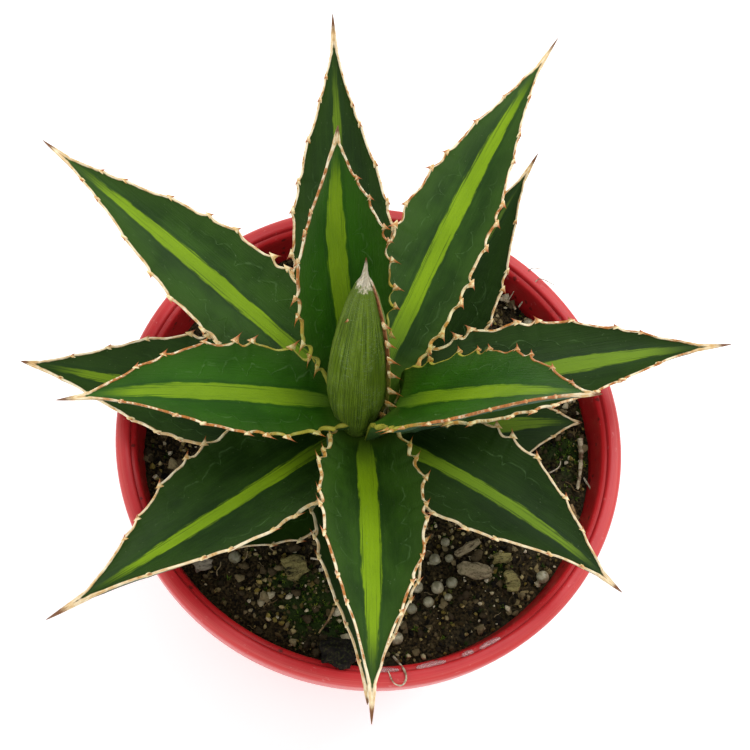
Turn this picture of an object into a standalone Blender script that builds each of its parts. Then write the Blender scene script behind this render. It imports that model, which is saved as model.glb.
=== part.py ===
"""Potted agave: a rosette of toothed leaves on a short stem, in a red nursery pot.

World frame: metres, +Z up, the pot's base on Z = 0 and its axis on X = Y = 0.
The dimensions below are millimetres; heights marked "rim" count from the top of the pot's lip.
"""

import math
import random
from dataclasses import dataclass

import bmesh
import bpy
import numpy as np
from mathutils import Matrix, Vector

MM = 0.001

# Pot
RIM_RADIUS = 70.0
POT_HEIGHT = 104.0
LIP_WIDTH = 3.8
SKIRT_DEPTH = 9.0
SKIRT_WALL = 1.6
BASE_RADIUS = 49.0
WALL = 1.9
FLOOR = 3.0
DRAIN_HOLES = 8
DRAIN_RADIUS = 5.0
DRAIN_CIRCLE = 37.0
CHANNEL_WIDTH = 7.0
CHANNEL_DEPTH = 1.2
POT_STEPS = 64

# Soil, heights from the rim
SOIL_LEVEL = -11.5
SOIL_GAP = 0.3
SOIL_STEPS = 56
SOCKET_DEPTH = 14.0

# Stem and bud: the rosette's axis stands a little left of the pot's
STEM_X = -4.0
STEM_Y = 0.0
STEM_RADIUS = 6.4
STEM_FOOT_RADIUS = 7.2
STEM_TOP = 21.5
BUD_FOOT = 22.0
BUD_TIP = (-10.5, 9.5, 87.0)

# Leaves
GAP = 0.42
LEAF_STATIONS = 22
LEAF_OFFSET = 7.6
TOOTH = 2.4


@dataclass(frozen=True)
class Leaf:
    """One leaf: where it leaves the stem, how it runs, and its outline."""

    name: str
    azimuth: float  # degrees from +X, seen from above
    rise: float  # degrees above level at the base
    rise_tip: float
    swing: float  # degrees the azimuth turns by the tip
    length: float
    width: float
    fold: float  # degrees each half folds up at mid blade
    twist: float
    height: float  # of the base, from the rim
    spine: float
    sheath: float = 0.0  # how far the base runs on down the stem


# From the youngest, innermost leaf out
LEAVES = (
    Leaf("leaf_01", 119.5, 62, 84, -7, 81.5, 28, 21, 3, 27.5, 7.0, 8.0),
    Leaf("leaf_02", 330.0, 63, 56, -10, 75.5, 30, 18, -12, 32.0, 7.0, 11.0),
    Leaf("leaf_03", 187.0, 25, 32, 18, 71.0, 28, 28, 7, 24.0, 9.0),
    Leaf("leaf_04", 66.5, 15, 7, -8, 98.0, 27, 30, -11, 22.5, 11.0),
    Leaf("leaf_05", 269.0, 39, 21, -2, 84.5, 30, 45, -5, 17.5, 10.0),
    Leaf("leaf_06", 145.0, 21, 14, 2, 92.5, 30, 31, 1, 18.0, 8.0),
    Leaf("leaf_07", 13.5, 14, -6, -3, 86.5, 30, 43, -7, 14.5, 10.0),
    Leaf("leaf_08", 220.0, 16, 14, -2, 82.0, 36, 39, 17, 10.5, 12.0),
    Leaf("leaf_09", 327.0, 20, 6, -12, 69.0, 34, 31, -9, 7.5, 7.0),
    Leaf("leaf_10", 97.5, 18, 29, -2, 93.5, 32, 43, -13, 7.0, 10.0),
    Leaf("leaf_11", 171.0, 7, -6, -3, 81.5, 36, 42, 2, 1.0, 5.0),
    Leaf("leaf_12", 57.0, 9, 18, 3, 79.5, 31, 38, 4, -2.0, 9.0),
    Leaf("leaf_13", 271.0, 34, 27, -6, 81.0, 32, 39, -5, -2.0, 5.0),
    Leaf("leaf_14", 8.0, 8, -11, -2, 55.5, 32, 18, 6, -7.0, 3.0),
    Leaf("leaf_15", 223.0, 6, 7, -2, 42.5, 28, 29, -6, -8.0, 4.0),
)

# Outline and folding along every leaf, at fractions of its length
HALF_WIDTH = ((0, 0.62), (0.12, 0.76), (0.3, 0.965), (0.5, 0.915), (0.7, 0.63), (0.87, 0.285), (1, 0.05))
FOLDING = ((0, 2.1), (0.12, 1.35), (0.3, 1.02), (0.6, 1.0), (1, 1.5))
THICKNESS = ((0, 5.6), (0.15, 4.6), (0.4, 3.0), (0.8, 1.9), (1, 1.2))

# Things lying on the soil, placed by X and Y
SETTLE = 0.35
# Fertiliser prills: X, Y, radius
PRILLS = (
    (18.0, -33.0, 1.6), (18.5, -41.0, 1.8), (22.5, -39.5, 1.6), (16.0, -45.0, 1.5), (13.0, -41.0, 1.7),
    (11.5, -47.0, 1.5), (21.5, -43.5, 1.1), (7.5, -55.0, 1.7), (22.0, -32.5, 1.2), (47.5, -37.5, 1.8),
    (-36.5, -34.0, 1.7), (21.0, -28.0, 1.3), (46.5, 38.5, 1.6),
)
# Bark chips: X, Y, length, width, thickness, turn, tilt
CHIPS = (
    (29.0, -36.0, 9.0, 5.0, 2.0, -8, 8),
    (27.0, -29.5, 7.5, 2.6, 1.4, 33, 12),
    (36.5, -32.5, 5.0, 3.4, 2.6, 10, 5),
    (39.0, -39.0, 3.4, 6.5, 2.8, 12, 6),
    (-45.0, -36.0, 5.5, 3.6, 1.6, 15, 4),
    (-20.0, -36.5, 6.0, 8.0, 2.4, 20, 5),
)
# The lump leaning over the lip: azimuth, width, and (height from the rim, inner and outer radius)
LUMP_AZIMUTH = 262.0
LUMP_WIDTH = 11.0
LUMP_LAYERS = ((-9.5, 56.5, 61.5), (-3.0, 57.0, 62.5), (0.3, 58.5, 63.5), (0.5, 59.0, 66.5), (2.6, 60.5, 65.5))
# Twigs: ends as X, Y and radius
TWIGS = (
    ((60.0, 3.0), (58.5, -12.0), 0.9),
    ((37.0, 46.5), (43.0, 43.0), 0.8),
)

random.seed(7)


def reset_scene() -> None:
    """Empty the scene of the objects Blender starts with."""
    for obj in list(bpy.data.objects):
        bpy.data.objects.remove(obj, do_unlink=True)


def new_collection(name: str) -> bpy.types.Collection:
    """Make a collection in the scene."""
    collection = bpy.data.collections.new(name)
    bpy.context.scene.collection.children.link(collection)
    return collection


def new_material(name: str, colour: tuple, roughness: float) -> bpy.types.Material:
    """Make a Principled material."""
    material = bpy.data.materials.new(name)
    material.use_nodes = True
    shader = material.node_tree.nodes["Principled BSDF"]
    shader.inputs["Base Color"].default_value = (*colour, 1.0)
    shader.inputs["Roughness"].default_value = roughness
    material.diffuse_color = (*colour, 1.0)
    return material


def new_object(name: str, points, faces, material, collection) -> bpy.types.Object:
    """Make a mesh object from points in millimetres."""
    mesh = bpy.data.meshes.new(name)
    mesh.from_pydata([tuple(float(c) * MM for c in p) for p in points], [], faces)
    work = bmesh.new()
    work.from_mesh(mesh)
    bmesh.ops.recalc_face_normals(work, faces=work.faces)
    work.to_mesh(mesh)
    work.free()
    obj = bpy.data.objects.new(name, mesh)
    if material:
        mesh.materials.append(material)
    collection.objects.link(obj)
    return obj


def turned(name: str, profile, steps: int, material, collection) -> bpy.types.Object:
    """Turn a profile of (radius, height) pairs, outer side from top to bottom, about Z."""
    mesh = bpy.data.meshes.new(name)
    points = [(r * MM, 0.0, z * MM) for r, z in profile]
    edges = [(i, i + 1) for i in range(len(points) - 1)]
    mesh.from_pydata(points, edges, [])
    mesh.materials.append(material)
    obj = bpy.data.objects.new(name, mesh)
    collection.objects.link(obj)
    screw = obj.modifiers.new("Turn", "SCREW")
    screw.axis = "Z"
    screw.steps = steps
    screw.render_steps = steps
    screw.use_merge_vertices = True
    screw.merge_threshold = 0.00001
    screw.use_smooth_shade = False
    return obj


def cut(obj: bpy.types.Object, cutter: bpy.types.Object) -> None:
    """Take the cutter's shape out of an object."""
    boolean = obj.modifiers.new("Cut " + cutter.name, "BOOLEAN")
    boolean.operation = "DIFFERENCE"
    boolean.solver = "EXACT"
    boolean.object = cutter


def hide_cutter(obj: bpy.types.Object) -> bpy.types.Object:
    """Keep a cutter out of the finished part."""
    obj.hide_render = True
    obj.display_type = "WIRE"
    return obj


def eased(table, s: float) -> float:
    """Read a table of (place, value) pairs with a smooth curve that never overshoots."""
    places = [p for p, _ in table]
    values = [v for _, v in table]
    steps = [places[i + 1] - places[i] for i in range(len(places) - 1)]
    rates = [(values[i + 1] - values[i]) / steps[i] for i in range(len(steps))]
    slopes = [rates[0]]
    for i in range(1, len(rates)):
        a, b = rates[i - 1], rates[i]
        if a * b <= 0:
            slopes.append(0.0)
        else:
            w1 = 2 * steps[i] + steps[i - 1]
            w2 = steps[i] + 2 * steps[i - 1]
            slopes.append((w1 + w2) / (w1 / a + w2 / b))
    slopes.append(rates[-1])
    i = max(0, min(len(steps) - 1, sum(1 for p in places[1:-1] if s >= p)))
    t = (s - places[i]) / steps[i]
    h00 = (1 + 2 * t) * (1 - t) ** 2
    h10 = t * (1 - t) ** 2
    h01 = t * t * (3 - 2 * t)
    h11 = t * t * (t - 1)
    return (
        h00 * values[i]
        + h10 * steps[i] * slopes[i]
        + h01 * values[i + 1]
        + h11 * steps[i] * slopes[i + 1]
    )


def leaf_frames(leaf: Leaf):
    """Walk the leaf's middle line from the foot of its sheath to the blade's tip.

    Returns each station's fraction of the blade, point, along, side and up directions, and how
    full the leaf is there: one along the blade, less down the sheath.
    """
    count = LEAF_STATIONS
    fractions = np.linspace(0.0, 1.0, count)
    azimuths = np.radians(leaf.azimuth + leaf.swing * fractions**2)
    rises = np.radians(leaf.rise + (leaf.rise_tip - leaf.rise) * fractions)
    along = np.stack([np.cos(rises) * np.cos(azimuths), np.cos(rises) * np.sin(azimuths), np.sin(rises)], -1)
    steps = (along[1:] + along[:-1]) / 2 * leaf.length / (count - 1)
    start = np.array([
        STEM_X + LEAF_OFFSET * math.cos(azimuths[0]),
        STEM_Y + LEAF_OFFSET * math.sin(azimuths[0]),
        POT_HEIGHT + leaf.height,
    ])
    points = np.vstack([start, start + np.cumsum(steps, 0)])
    side = np.stack([-np.sin(azimuths), np.cos(azimuths), 0 * azimuths], -1)
    up = np.cross(along, side)
    twist = np.radians(leaf.twist * np.clip(fractions / 0.3, 0, 1))[:, None]
    sides = side * np.cos(twist) + up * np.sin(twist)
    ups = up * np.cos(twist) - side * np.sin(twist)
    fullness = np.ones(count)
    if leaf.sheath:
        down = np.array([[0.0, 0.0, -leaf.sheath], [0.0, 0.0, -leaf.sheath / 2]])
        upright = np.array([0.0, 0.0, 1.0])
        points = np.vstack([start + down, points])
        along = np.vstack([upright, upright, along])
        sides = np.vstack([side[0], side[0], sides])
        ups = np.vstack([np.cross(upright, side[0]), np.cross(upright, side[0]), ups])
        fractions = np.concatenate([[0.0, 0.0], fractions])
        fullness = np.concatenate([[0.35, 0.75], fullness])
    return fractions, points, along, sides, ups, fullness


def leaf_solid(leaf: Leaf, grow: float, material, collection, name: str) -> bpy.types.Object:
    """Loft one leaf: a channelled blade, toothed margins and a spine at the tip.

    With grow above zero the leaf comes out that much fatter all round, to cut its neighbours.
    """
    across = (-1.0, -0.5, 0.0, 0.5, 1.0)
    count = 2 * len(across)
    margins = {len(across) - 1: 1.0, count - 1: -1.0}
    fractions, points, along, sides, ups, fullness = leaf_frames(leaf)
    last = len(fractions) - 1
    vertices = []
    outward = []
    for i, s in enumerate(fractions):
        half = eased(HALF_WIDTH, s) * leaf.width / 2
        fold = math.radians(leaf.fold * eased(FOLDING, s))
        thick = eased(THICKNESS, s) * leaf.width / 30 * fullness[i]
        centre = points[i] - along[i] * (grow if i == 0 else 0.0)
        top = []
        under = []
        for u in across:
            angle = fold * u
            depth = thick * (1 - 0.78 * u * u)
            x = half * math.sin(angle) / fold + grow * u * math.cos(angle)
            z = half * (1 - math.cos(angle)) / fold + grow * abs(u) * math.sin(abs(angle))
            top.append((x - grow * math.sin(angle), z + grow * math.cos(angle)))
            under.append((x + (depth + grow) * math.sin(angle), z - (depth + grow) * math.cos(angle)))
        vertices += [centre + sides[i] * x + ups[i] * z for x, z in top + under[::-1]]
        outward.append((math.cos(fold), math.sin(fold)))
    faces = []
    for i in range(last):
        for k in range(count):
            n = (k + 1) % count
            quad = (i * count + k, i * count + n, (i + 1) * count + n, (i + 1) * count + k)
            toothed = k in margins and i % 2 == 0 and fractions[i] > 0.09 and i < last - 3
            if not toothed:
                faces.append(quad)
                continue
            size = TOOTH * (1.15 - 0.7 * fractions[i])
            middle = sum((vertices[v] for v in quad), np.zeros(3)) / 4
            out = sides[i] * outward[i][0] * margins[k] + ups[i] * outward[i][1]
            vertices.append(middle + out * (size + 1.6 * grow) - along[i] * 0.5 * size)
            for p in range(4):
                faces.append((quad[p], quad[(p + 1) % 4], len(vertices) - 1))
    for k in range(len(across) - 1):
        faces.append((k, k + 1, count - 2 - k, count - 1 - k))
    vertices.append(points[last] + along[last] * (leaf.spine + 2 * grow))
    for k in range(count):
        faces.append((last * count + k, last * count + (k + 1) % count, len(vertices) - 1))
    return new_object(name, vertices, faces, material, collection)


def reach(obj: bpy.types.Object):
    """Return the object's own box as its low and high corners."""
    corners = [v.co for v in obj.data.vertices]
    low = Vector([min(c[i] for c in corners) for i in range(3)])
    high = Vector([max(c[i] for c in corners) for i in range(3)])
    return low, high


def near(a: bpy.types.Object, b: bpy.types.Object) -> bool:
    """Say whether two objects' boxes meet."""
    low_a, high_a = reach(a)
    low_b, high_b = reach(b)
    return all(low_a[i] <= high_b[i] and low_b[i] <= high_a[i] for i in range(3))


def settle_cuts(obj: bpy.types.Object) -> None:
    """Make the object's cuts its mesh, and keep its largest piece."""
    graph = bpy.context.evaluated_depsgraph_get()
    mesh = bpy.data.meshes.new_from_object(obj.evaluated_get(graph))
    obj.modifiers.clear()
    obj.data = mesh
    work = bmesh.new()
    work.from_mesh(mesh)
    bmesh.ops.triangulate(work, faces=work.faces)
    bmesh.ops.dissolve_degenerate(work, dist=0.00004, edges=work.edges)
    islands = []
    left = set(work.faces)
    while left:
        seed = left.pop()
        island = [seed]
        front = [seed]
        while front:
            for edge in front.pop().edges:
                for face in edge.link_faces if len(edge.link_faces) == 2 else ():
                    if face in left:
                        left.discard(face)
                        island.append(face)
                        front.append(face)
        islands.append(island)
    islands.sort(key=lambda island: sum(face.calc_area() for face in island))
    for island in islands[:-1]:
        bmesh.ops.delete(work, geom=island, context="FACES")
    work.to_mesh(mesh)
    work.free()


def pot_wall_radius(height: float) -> float:
    """Return the radius of the pot's inner wall at a height above the base."""
    top = RIM_RADIUS - LIP_WIDTH - 1.6
    foot = BASE_RADIUS - WALL
    return foot + (top - foot) * (height - FLOOR) / (POT_HEIGHT - FLOOR)


def make_pot(material, collection, cutters) -> bpy.types.Object:
    """Turn the pot with its rolled lip and skirt, then open the drain holes and their channels."""
    outer_top = RIM_RADIUS - SKIRT_WALL - 1.2
    ledge = pot_wall_radius(POT_HEIGHT)
    profile = (
        (0.0, FLOOR),
        (BASE_RADIUS - WALL - 1.0, FLOOR),
        (BASE_RADIUS - WALL, FLOOR + 1.2),
        (ledge, POT_HEIGHT - 1.3),
        (ledge + 1.2, POT_HEIGHT - 1.2),
        (ledge + 1.5, POT_HEIGHT - 0.3),
        (RIM_RADIUS - LIP_WIDTH + 0.6, POT_HEIGHT),
        (RIM_RADIUS - 1.6, POT_HEIGHT - 0.1),
        (RIM_RADIUS - 0.5, POT_HEIGHT - 0.7),
        (RIM_RADIUS, POT_HEIGHT - 1.9),
        (RIM_RADIUS - 0.6, POT_HEIGHT - SKIRT_DEPTH),
        (RIM_RADIUS - 0.6 - SKIRT_WALL, POT_HEIGHT - SKIRT_DEPTH),
        (outer_top, POT_HEIGHT - 2.6),
        (outer_top - 0.6, POT_HEIGHT - 3.0),
        (BASE_RADIUS, 2.0),
        (BASE_RADIUS - 0.6, 0.6),
        (BASE_RADIUS - 1.8, 0.0),
        (0.0, 0.0),
    )
    pot = turned("pot", profile, POT_STEPS, material, collection)
    for i in range(DRAIN_HOLES):
        angle = math.tau * (i + 0.5) / DRAIN_HOLES
        work = bmesh.new()
        place = Matrix.Translation((DRAIN_CIRCLE * MM * math.cos(angle), DRAIN_CIRCLE * MM * math.sin(angle), 0))
        bmesh.ops.create_cone(
            work, cap_ends=True, segments=16, radius1=DRAIN_RADIUS * MM, radius2=DRAIN_RADIUS * MM,
            depth=4 * FLOOR * MM, matrix=place,
        )
        mesh = bpy.data.meshes.new(f"drain_{i + 1}")
        work.to_mesh(mesh)
        work.free()
        hole = hide_cutter(bpy.data.objects.new(mesh.name, mesh))
        cutters.objects.link(hole)
        cut(pot, hole)
        run = BASE_RADIUS - DRAIN_CIRCLE + 4
        middle = DRAIN_CIRCLE + run / 2
        low = (-run / 2, -CHANNEL_WIDTH / 2, -CHANNEL_DEPTH)
        high = (run / 2, CHANNEL_WIDTH / 2, CHANNEL_DEPTH)
        corners = [
            Matrix.Rotation(angle, 3, "Z") @ Vector((middle + (low, high)[a][0], (low, high)[b][1], (low, high)[c][2]))
            for a in (0, 1) for b in (0, 1) for c in (0, 1)
        ]
        sides = [(0, 1, 3, 2), (4, 6, 7, 5), (0, 4, 5, 1), (2, 3, 7, 6), (0, 2, 6, 4), (1, 5, 7, 3)]
        channel = hide_cutter(new_object(f"channel_{i + 1}", corners, sides, None, cutters))
        cut(pot, channel)
    return pot


def soil_height(x: float, y: float) -> float:
    """Return the soil's height at a place, in millimetres above the ground."""
    waves = 0.7 * math.sin(x / 9 + 1.0) * math.cos(y / 11) + 0.45 * math.sin((x + y) / 6.5)
    return POT_HEIGHT + SOIL_LEVEL + waves + 0.015 * x


def make_soil(grow: float, material, collection, name: str) -> bpy.types.Object:
    """Fill the pot with soil: a tapered block with an uneven top and a socket for the stem.

    With grow above zero its top comes out that much higher, to trim the leaves that lie on it.
    """
    foot = FLOOR + SOIL_GAP
    socket = STEM_FOOT_RADIUS + SOIL_GAP - 4 * grow
    reaches = (62.0, 55.0, 47.0, 39.0, 31.0, 23.0, 15.0, socket)
    vertices = [np.array((0.0, 0.0, foot))]
    rings = []

    def add_ring(radius: float, height, shift: float) -> None:
        ring = []
        for k in range(SOIL_STEPS):
            angle = math.tau * k / SOIL_STEPS
            x = radius * math.cos(angle) + STEM_X * shift
            y = radius * math.sin(angle) + STEM_Y * shift
            z = height if height is not None else soil_height(x, y) + grow
            ring.append(len(vertices))
            vertices.append(np.array((x, y, z)))
        rings.append(ring)

    add_ring(BASE_RADIUS - WALL - 1.9, foot, 0.0)
    add_ring(pot_wall_radius(foot + 1.5) - SOIL_GAP - 0.2, foot + 1.5, 0.0)
    rim_height = POT_HEIGHT + SOIL_LEVEL - 1.6
    add_ring(pot_wall_radius(rim_height) - SOIL_GAP - 0.3, rim_height, 0.0)
    for radius in reaches:
        add_ring(radius, None, 1.0 - (radius - socket) / (reaches[0] - socket))
    socket_foot = POT_HEIGHT + SOIL_LEVEL - SOCKET_DEPTH
    add_ring(socket, socket_foot, 1.0)
    vertices.append(np.array((STEM_X, STEM_Y, socket_foot)))
    faces = []
    for k in range(SOIL_STEPS):
        n = (k + 1) % SOIL_STEPS
        faces.append((0, rings[0][n], rings[0][k]))
        for a, b in zip(rings, rings[1:]):
            faces.append((a[k], a[n], b[n]))
            faces.append((a[k], b[n], b[k]))
        faces.append((rings[-1][k], rings[-1][n], len(vertices) - 1))
    return new_object(name, vertices, faces, material, collection)


def make_stem(material, collection) -> bpy.types.Object:
    """Turn the short stem that stands in the soil's socket."""
    foot = POT_HEIGHT + SOIL_LEVEL - SOCKET_DEPTH + SOIL_GAP
    profile = (
        (0.0, POT_HEIGHT + STEM_TOP),
        (STEM_RADIUS - 1.2, POT_HEIGHT + STEM_TOP),
        (STEM_RADIUS - 0.3, POT_HEIGHT + STEM_TOP - 1.5),
        (STEM_RADIUS, POT_HEIGHT - 4),
        (STEM_FOOT_RADIUS, POT_HEIGHT - 13),
        (STEM_FOOT_RADIUS - 0.4, foot + 4),
        (STEM_FOOT_RADIUS - 2.2, foot),
        (0.0, foot),
    )
    stem = turned("stem", profile, 24, material, collection)
    stem.location = (STEM_X * MM, STEM_Y * MM, 0)
    return stem


def stem_space(collection) -> bpy.types.Object:
    """Make the room the leaves leave for the stem."""
    rings = ((POT_HEIGHT - 16, STEM_FOOT_RADIUS), (POT_HEIGHT - 4, STEM_RADIUS), (POT_HEIGHT + BUD_FOOT + 1, STEM_RADIUS))
    vertices = []
    for height, radius in rings:
        for k in range(24):
            angle = math.tau * k / 24
            r = radius + 1.02 * GAP
            vertices.append(np.array((STEM_X + r * math.cos(angle), STEM_Y + r * math.sin(angle), height)))
    faces = [tuple(range(24))[::-1], tuple(48 + k for k in range(24))]
    for n in range(2):
        for k in range(24):
            m = (k + 1) % 24
            faces.append((n * 24 + k, n * 24 + m, n * 24 + 24 + m, n * 24 + 24 + k))
    return new_object("stem_space", vertices, faces, None, collection)


def bud_solid(grow: float, material, collection, name: str) -> bpy.types.Object:
    """Loft the bud: furled young leaves, one lapped round the others, drawn out to a spine."""
    girth = ((0, 5.6), (0.1, 6.6), (0.25, 7.0), (0.45, 6.9), (0.7, 5.0), (0.84, 2.6), (0.92, 0.9), (1, 0.25))
    foot = np.array((STEM_X - 0.5, STEM_Y, POT_HEIGHT + BUD_FOOT - grow))
    tip = np.array((BUD_TIP[0], BUD_TIP[1], POT_HEIGHT + BUD_TIP[2] + grow))
    stations = 14
    points_round = 14
    lap = math.radians(-20)
    vertices = []
    for i in range(stations):
        s = i / (stations - 1)
        centre = foot + (tip - foot) * s
        for k in range(points_round):
            turn = k / (points_round - 1) if k < points_round - 1 else 0.999
            step = 1.05 - 0.1 * turn
            angle = lap + math.tau * min(turn, 0.985)
            radius = eased(girth, s) * step + grow
            vertices.append(centre + np.array((radius * math.cos(angle), radius * math.sin(angle), 0)))
    faces = []
    for i in range(stations - 1):
        for k in range(points_round):
            n = (k + 1) % points_round
            a, b = i * points_round, (i + 1) * points_round
            faces.append((a + k, a + n, b + n, b + k))
    faces.append(tuple(range(points_round))[::-1])
    faces.append(tuple((stations - 1) * points_round + k for k in range(points_round)))
    return new_object(name, vertices, faces, material, collection)


def make_prill(index: int, row, material, collection) -> None:
    """Lay one round fertiliser prill on the soil."""
    x, y, radius = row
    high = max(soil_height(x + dx, y + dy) for dx in (-1, 0, 1) for dy in (-1, 0, 1))
    work = bmesh.new()
    bmesh.ops.create_icosphere(work, subdivisions=2, radius=radius * MM)
    mesh = bpy.data.meshes.new(f"prill_{index:02d}")
    work.to_mesh(mesh)
    work.free()
    mesh.transform(Matrix.Translation(Vector((x, y, high + radius + SETTLE)) * MM))
    mesh.materials.append(material)
    collection.objects.link(bpy.data.objects.new(mesh.name, mesh))


def make_chip(index: int, row, material, collection) -> None:
    """Lay one bevelled, slightly uneven bark chip on the soil."""
    x, y, length, width, thick, turn, tilt = row
    work = bmesh.new()
    bmesh.ops.create_cube(work, size=1.0)
    spin = Matrix.Rotation(math.radians(turn), 3, "Z") @ Matrix.Rotation(math.radians(tilt), 3, "X")
    for vertex in work.verts:
        size = Vector((length, width, thick)) * random.uniform(0.84, 1.0)
        vertex.co = spin @ Vector([a * b for a, b in zip(vertex.co, size)])
    reach_out = max(length, width) / 2
    tries = [(x + reach_out * a / 2, y + reach_out * b / 2) for a in range(-2, 3) for b in range(-2, 3)]
    high = max(soil_height(a, b) for a, b in tries)
    low = min(vertex.co.z for vertex in work.verts)
    for vertex in work.verts:
        vertex.co = (vertex.co + Vector((x, y, high - low + SETTLE))) * MM
    mesh = bpy.data.meshes.new(f"bark_{index:02d}")
    work.to_mesh(mesh)
    work.free()
    mesh.materials.append(material)
    chip = bpy.data.objects.new(mesh.name, mesh)
    collection.objects.link(chip)
    bevel = chip.modifiers.new("Worn edges", "BEVEL")
    bevel.width = 0.35 * MM
    bevel.segments = 1
    bevel.limit_method = "NONE"


def make_lump(material, collection) -> None:
    """Loft the dark lump of bark that stands by the wall and leans over the lip."""
    angle = math.radians(LUMP_AZIMUTH)
    out = np.array((math.cos(angle), math.sin(angle), 0))
    across = np.array((-math.sin(angle), math.cos(angle), 0))
    vertices = []
    for n, (height, inner, outer) in enumerate(LUMP_LAYERS):
        half = LUMP_WIDTH / 2 * (0.9, 1.0, 1.0, 0.95, 0.6)[n]
        middle = (inner + outer) / 2
        for r, side in ((inner, -0.7), (middle, -1), (outer, -0.6), (outer, 0.6), (middle, 1), (inner, 0.7)):
            height_here = POT_HEIGHT + height
            vertices.append(out * r + across * side * half + np.array((0, 0, height_here)))
    faces = []
    for n in range(len(LUMP_LAYERS) - 1):
        for k in range(6):
            m = (k + 1) % 6
            faces.append((n * 6 + k, n * 6 + m, n * 6 + 6 + m, n * 6 + 6 + k))
    faces.append((5, 4, 3, 2, 1, 0))
    faces.append(tuple(len(vertices) - 6 + k for k in range(6)))
    new_object("bark_lump", vertices, faces, material, collection)


def make_twig(index: int, row, material, collection) -> None:
    """Lay a thin tapering twig on the soil."""
    (x0, y0), (x1, y1), radius = row
    curve = bpy.data.curves.new(f"twig_{index:02d}", "CURVE")
    curve.dimensions = "3D"
    curve.bevel_depth = radius * MM
    curve.bevel_resolution = 1
    curve.use_fill_caps = True
    line = curve.splines.new("POLY")
    line.points.add(4)
    fractions = [i / 4 for i in range(5)]
    high = max(soil_height(x0 + (x1 - x0) * s, y0 + (y1 - y0) * s) for s in fractions)
    for point, s in zip(line.points, fractions):
        bend = 0.7 * math.sin(math.pi * s)
        x = x0 + (x1 - x0) * s + bend
        y = y0 + (y1 - y0) * s + bend
        point.co = (x * MM, y * MM, (high + radius + SETTLE + 0.2) * MM, 1.0)
        point.radius = 1.0 - 0.35 * s
    curve.materials.append(material)
    collection.objects.link(bpy.data.objects.new(curve.name, curve))


def main() -> None:
    """Build the potted agave."""
    reset_scene()
    part = new_collection("potted_agave")
    cutters = new_collection("cutters")
    pot_red = new_material("pot_red", (0.62, 0.03, 0.03), 0.45)
    soil_dark = new_material("soil_dark", (0.03, 0.025, 0.018), 0.95)
    leaf_inner = new_material("leaf_inner", (0.05, 0.16, 0.02), 0.45)
    leaf_outer = new_material("leaf_outer", (0.02, 0.07, 0.02), 0.45)
    bud_green = new_material("bud_green", (0.10, 0.24, 0.05), 0.5)
    stem_pale = new_material("stem_pale", (0.32, 0.30, 0.16), 0.7)
    prill_tan = new_material("prill_tan", (0.36, 0.35, 0.22), 0.5)
    bark_brown = new_material("bark_brown", (0.11, 0.08, 0.05), 0.9)
    twig_grey = new_material("twig_grey", (0.42, 0.36, 0.26), 0.85)

    make_pot(pot_red, part, cutters)
    make_soil(0.0, soil_dark, part, "soil")
    make_stem(stem_pale, part)
    bud_solid(0.0, bud_green, part, "bud")

    spaces = [hide_cutter(bud_solid(GAP, None, cutters, "bud_space"))]
    spaces.append(hide_cutter(stem_space(cutters)))
    spaces.append(hide_cutter(make_soil(GAP, None, cutters, "soil_space")))
    for number, leaf in enumerate(LEAVES):
        shade = leaf_inner if number < 3 else leaf_outer
        blade = leaf_solid(leaf, 0.0, shade, part, leaf.name)
        for space in spaces:
            if near(blade, space):
                cut(blade, space)
        if blade.modifiers:
            settle_cuts(blade)
        spaces.append(hide_cutter(leaf_solid(leaf, GAP, None, cutters, leaf.name + "_space")))

    for number, row in enumerate(PRILLS, 1):
        make_prill(number, row, prill_tan, part)
    for number, row in enumerate(CHIPS, 1):
        make_chip(number, row, bark_brown, part)
    make_lump(bark_brown, part)
    for number, row in enumerate(TWIGS, 1):
        make_twig(number, row, twig_grey, part)


main()
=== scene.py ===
"""Potted agave: a rosette of striped, toothed leaves in a red nursery pot of dark soil.

Sizes in the classes are millimetres in the frame of the CAD model: +Z up, the pot's base on Z = 0,
its axis on X = Y = 0. The leaves' feet, the stem's profile and the lump's layers count their heights
from the top of the pot's lip.
"""

import logging
import math
import random
from dataclasses import dataclass
from enum import Enum
from typing import Callable, Sequence

import bmesh
import bpy
import numpy as np
from mathutils import Matrix, Vector, noise


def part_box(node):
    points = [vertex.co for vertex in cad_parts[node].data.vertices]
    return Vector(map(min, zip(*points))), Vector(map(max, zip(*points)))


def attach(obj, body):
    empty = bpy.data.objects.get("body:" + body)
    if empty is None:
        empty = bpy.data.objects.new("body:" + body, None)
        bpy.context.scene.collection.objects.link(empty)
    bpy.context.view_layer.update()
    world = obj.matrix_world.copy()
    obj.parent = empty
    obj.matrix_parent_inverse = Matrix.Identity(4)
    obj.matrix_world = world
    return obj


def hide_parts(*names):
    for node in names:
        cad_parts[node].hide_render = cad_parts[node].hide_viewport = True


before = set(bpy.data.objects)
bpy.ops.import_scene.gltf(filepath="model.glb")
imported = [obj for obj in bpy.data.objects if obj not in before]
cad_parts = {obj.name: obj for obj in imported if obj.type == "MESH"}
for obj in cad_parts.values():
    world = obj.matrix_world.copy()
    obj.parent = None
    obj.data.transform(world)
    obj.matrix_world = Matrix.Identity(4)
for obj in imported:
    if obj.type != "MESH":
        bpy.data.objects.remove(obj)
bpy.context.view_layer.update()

LOG = logging.getLogger("potted_agave")
MM = 0.001
BODY = "root"

RIM_RADIUS = 70.0
POT_HEIGHT = 104.0
SOIL_LEVEL = 92.5
STEM = (-4.0, 0.0)
Table = Sequence[tuple[float, float]]


# ---------------------------------------------------------------- shader and node helpers


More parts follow.
